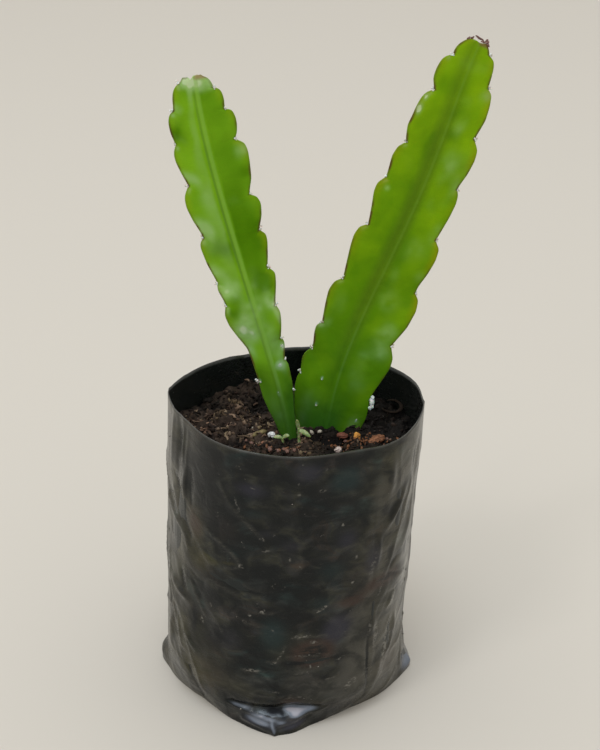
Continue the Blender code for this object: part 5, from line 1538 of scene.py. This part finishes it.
def dryFinish():
    # dark red brown, streaked paler along the grain
    f = Finish("dry scale leaf")
    grain = f.noise(900, 3, 0.6, (1, 1, 3))
    colour = f.ramp(grain, ((0.3, (0.055, 0.022, 0.020)), (0.55, (0.16, 0.075, 0.062)),
                            (0.75, (0.36, 0.23, 0.19))))
    return f.feed(Base_Color=colour, Roughness=0.55 + 0.3 * grain, Normal=f.relief(grain, 0.0003, 0.6))


woolMaterial = woolFinish()
buildAreoles(woolMaterial)
buildWool(woolMaterial)
buildScraps(dryFinish())


# the pale shoots at the foot

shoots = {
    "shootRight": {
        "node": "sprout_right", "slot": "sprout_right_green",
        "stalk": ((6.6, -9.4, 117.0), (6.5, -9.6, 123.5), (6.3, -9.8, 129.5)),
        "leaves": (((6.3, -9.8, 128.6), (5.4, -10.3, 133.8), 1.7),
                   ((6.2, -9.9, 128.6), (11.6, -11.4, 125.6), 2.1))},
    "shootLeft": {
        "node": "sprout_left", "slot": "sprout_left_green",
        "stalk": ((-0.9, -10.6, 117.0), (-0.9, -10.8, 121.5), (-0.8, -10.9, 125.2)),
        "leaves": (((-0.9, -10.9, 124.9), (-4.9, -11.8, 125.7), 1.7),
                   ((-0.9, -10.9, 124.9), (2.2, -11.9, 126.6), 1.9))},
}


def buildShoot(name, finish):
    # a bent stalk and leaves whose width swells and closes like a sine, all in one mesh
    spec = shoots[name]
    t = np.linspace(0, 1, 30)
    stalk = np.array(spec["stalk"])
    line = np.stack([np.interp(t, (0, 0.5, 1), stalk[:, i]) for i in range(3)], -1)
    parts = [sweep(line, 0.75 * (1 - 0.25 * t))]
    for start, end, width in spec["leaves"]:
        a, b = np.array(start), np.array(end)
        arc = a + (b - a) * t[:, None] + np.array([0, 0, 1.1])[None] * (np.sin(np.pi * t) * 0.5)[:, None]
        girth = width / 2 * np.sin(np.pi * np.clip(t * 0.94 + 0.05, 0, 1)) ** 0.7 + 0.05
        facing = (0, -0.75, 0.66) if abs((b - a)[2]) < 4 else (0, -1, 0.1)
        parts.append(sweep(arc, girth, 14, 0.34, facing))
    points, faces = joined([closedTube(rings) for rings in parts])
    makePiece(name, points, faces, finish, swaps=[spec["node"]])


def shootFinish():
    # soft pale skin, mottled between two greens
    f = Finish("pale shoot", Subsurface_Weight=0.25, Subsurface_Scale=0.001, Roughness=0.42)
    colour = f.blend(f.between(0.35, 0.7, f.noise(500)), (0.20, 0.30, 0.085), (0.42, 0.47, 0.24))
    return f.feed(Base_Color=colour)


shootMaterial = shootFinish()
for shootName in shoots:
    buildShoot(shootName, shootMaterial)


# grit on the film

grit = {"grains": 90, "size": (0.12, 0.34), "seed": 61}


def buildGrit(finish):
    # small pale grains stuck to the outside of the bag, more of them low down
    rng = np.random.default_rng(grit["seed"])
    n = grit["grains"]
    small, large = grit["size"]
    az = rng.uniform(-180, 180, n)
    z = 6 + 126 * rng.uniform(0, 1, n) ** 1.35
    size = small + (large - small) * rng.uniform(0, 1, n) ** 2.5
    centres = bagPoint(az, z, outerRadius(az, z) + 0.1 * size)
    points, faces = scatterBits(rng, centres, size[:, None] * rng.uniform(0.6, 1.3, (n, 3)), 0.25)
    tone = np.repeat(rng.uniform(0, 1, n), 12)
    makePiece("filmGrit", points, faces, finish, {"tone": tone})


def gritFinish():
    # by tone: dark earth to pale mineral
    f = Finish("dry grit")
    return f.feed(Base_Color=f.ramp(f.mark("tone"), ((0.0, (0.06, 0.05, 0.04)), (0.7, (0.17, 0.14, 0.12)),
                                                     (1.0, (0.45, 0.41, 0.36)))))


buildGrit(gritFinish())


# floor, light and camera

studio = {
    "floorColour": (0.632, 0.583, 0.518), "skyColour": (0.965, 0.97, 0.945), "skyStrength": 0.90,
    "camera": (0.0069, -0.5302, 0.388), "pitch": 24.1, "lens": 62.74,
    # where the lamps aim; each lamp's name, place, size, watts, colour
    "aim": (0.0, 0.0, 0.15),
    "lamps": (("keyPanel", (-1.6, -1.6, 2.6), 0.7, 12.0, (1.0, 0.985, 0.96)),
              ("topPanel", (-0.22, -0.85, 3.0), 1.2, 22.0, (0.78, 0.89, 1.0))),
}


def buildStage():
    # a wide floor clouded between two near tones, an even sky, soft lamps aimed at a point over
    # the middle, and the camera pitched down
    mesh = bpy.data.meshes.new("floorSheet")
    mesh.from_pydata([(-30, -30, 0), (30, -30, 0), (30, 30, 0), (-30, 30, 0)], [], [(0, 1, 2, 3)])
    f = Finish("pale floor", Specular_IOR_Level=0.3)
    cloud = f.noise(9, 3, 0.5)
    colour = f.blend(cloud, tuple(c * 0.985 for c in studio["floorColour"]), studio["floorColour"])
    mesh.materials.append(f.feed(Base_Color=colour, Roughness=0.6 + 0.1 * cloud))
    floor = addObject("floorSheet", mesh)
    scene = bpy.context.scene
    scene.world = bpy.data.worlds.new("softSky")
    scene.world.use_nodes = True
    sky = scene.world.node_tree.nodes["Background"].inputs
    sky["Color"].default_value = (*studio["skyColour"], 1)
    sky["Strength"].default_value = studio["skyStrength"]
    for name, place, size, watts, colour in studio["lamps"]:
        lamp = bpy.data.lights.new(name, "AREA")
        lamp.size, lamp.energy, lamp.color = size, watts, colour
        holder = addObject(name, lamp)
        holder.location = place
        x, y, z = np.array(studio["aim"]) - np.array(place)
        holder.rotation_euler = (math.atan2(math.hypot(x, y), -z), 0, math.atan2(y, x) - math.pi / 2)
    view = bpy.data.cameras.new("photoView")
    view.lens, view.sensor_width = studio["lens"], 36
    scene.camera = addObject("photoView", view)
    scene.camera.location = studio["camera"]
    scene.camera.rotation_euler = (math.radians(90 - studio["pitch"]), 0, 0)
    scene.view_settings.view_transform = "Standard"   # the photo's plain contrast


buildStage()
print("stage, light and camera set")

bpy.context.view_layer.update()
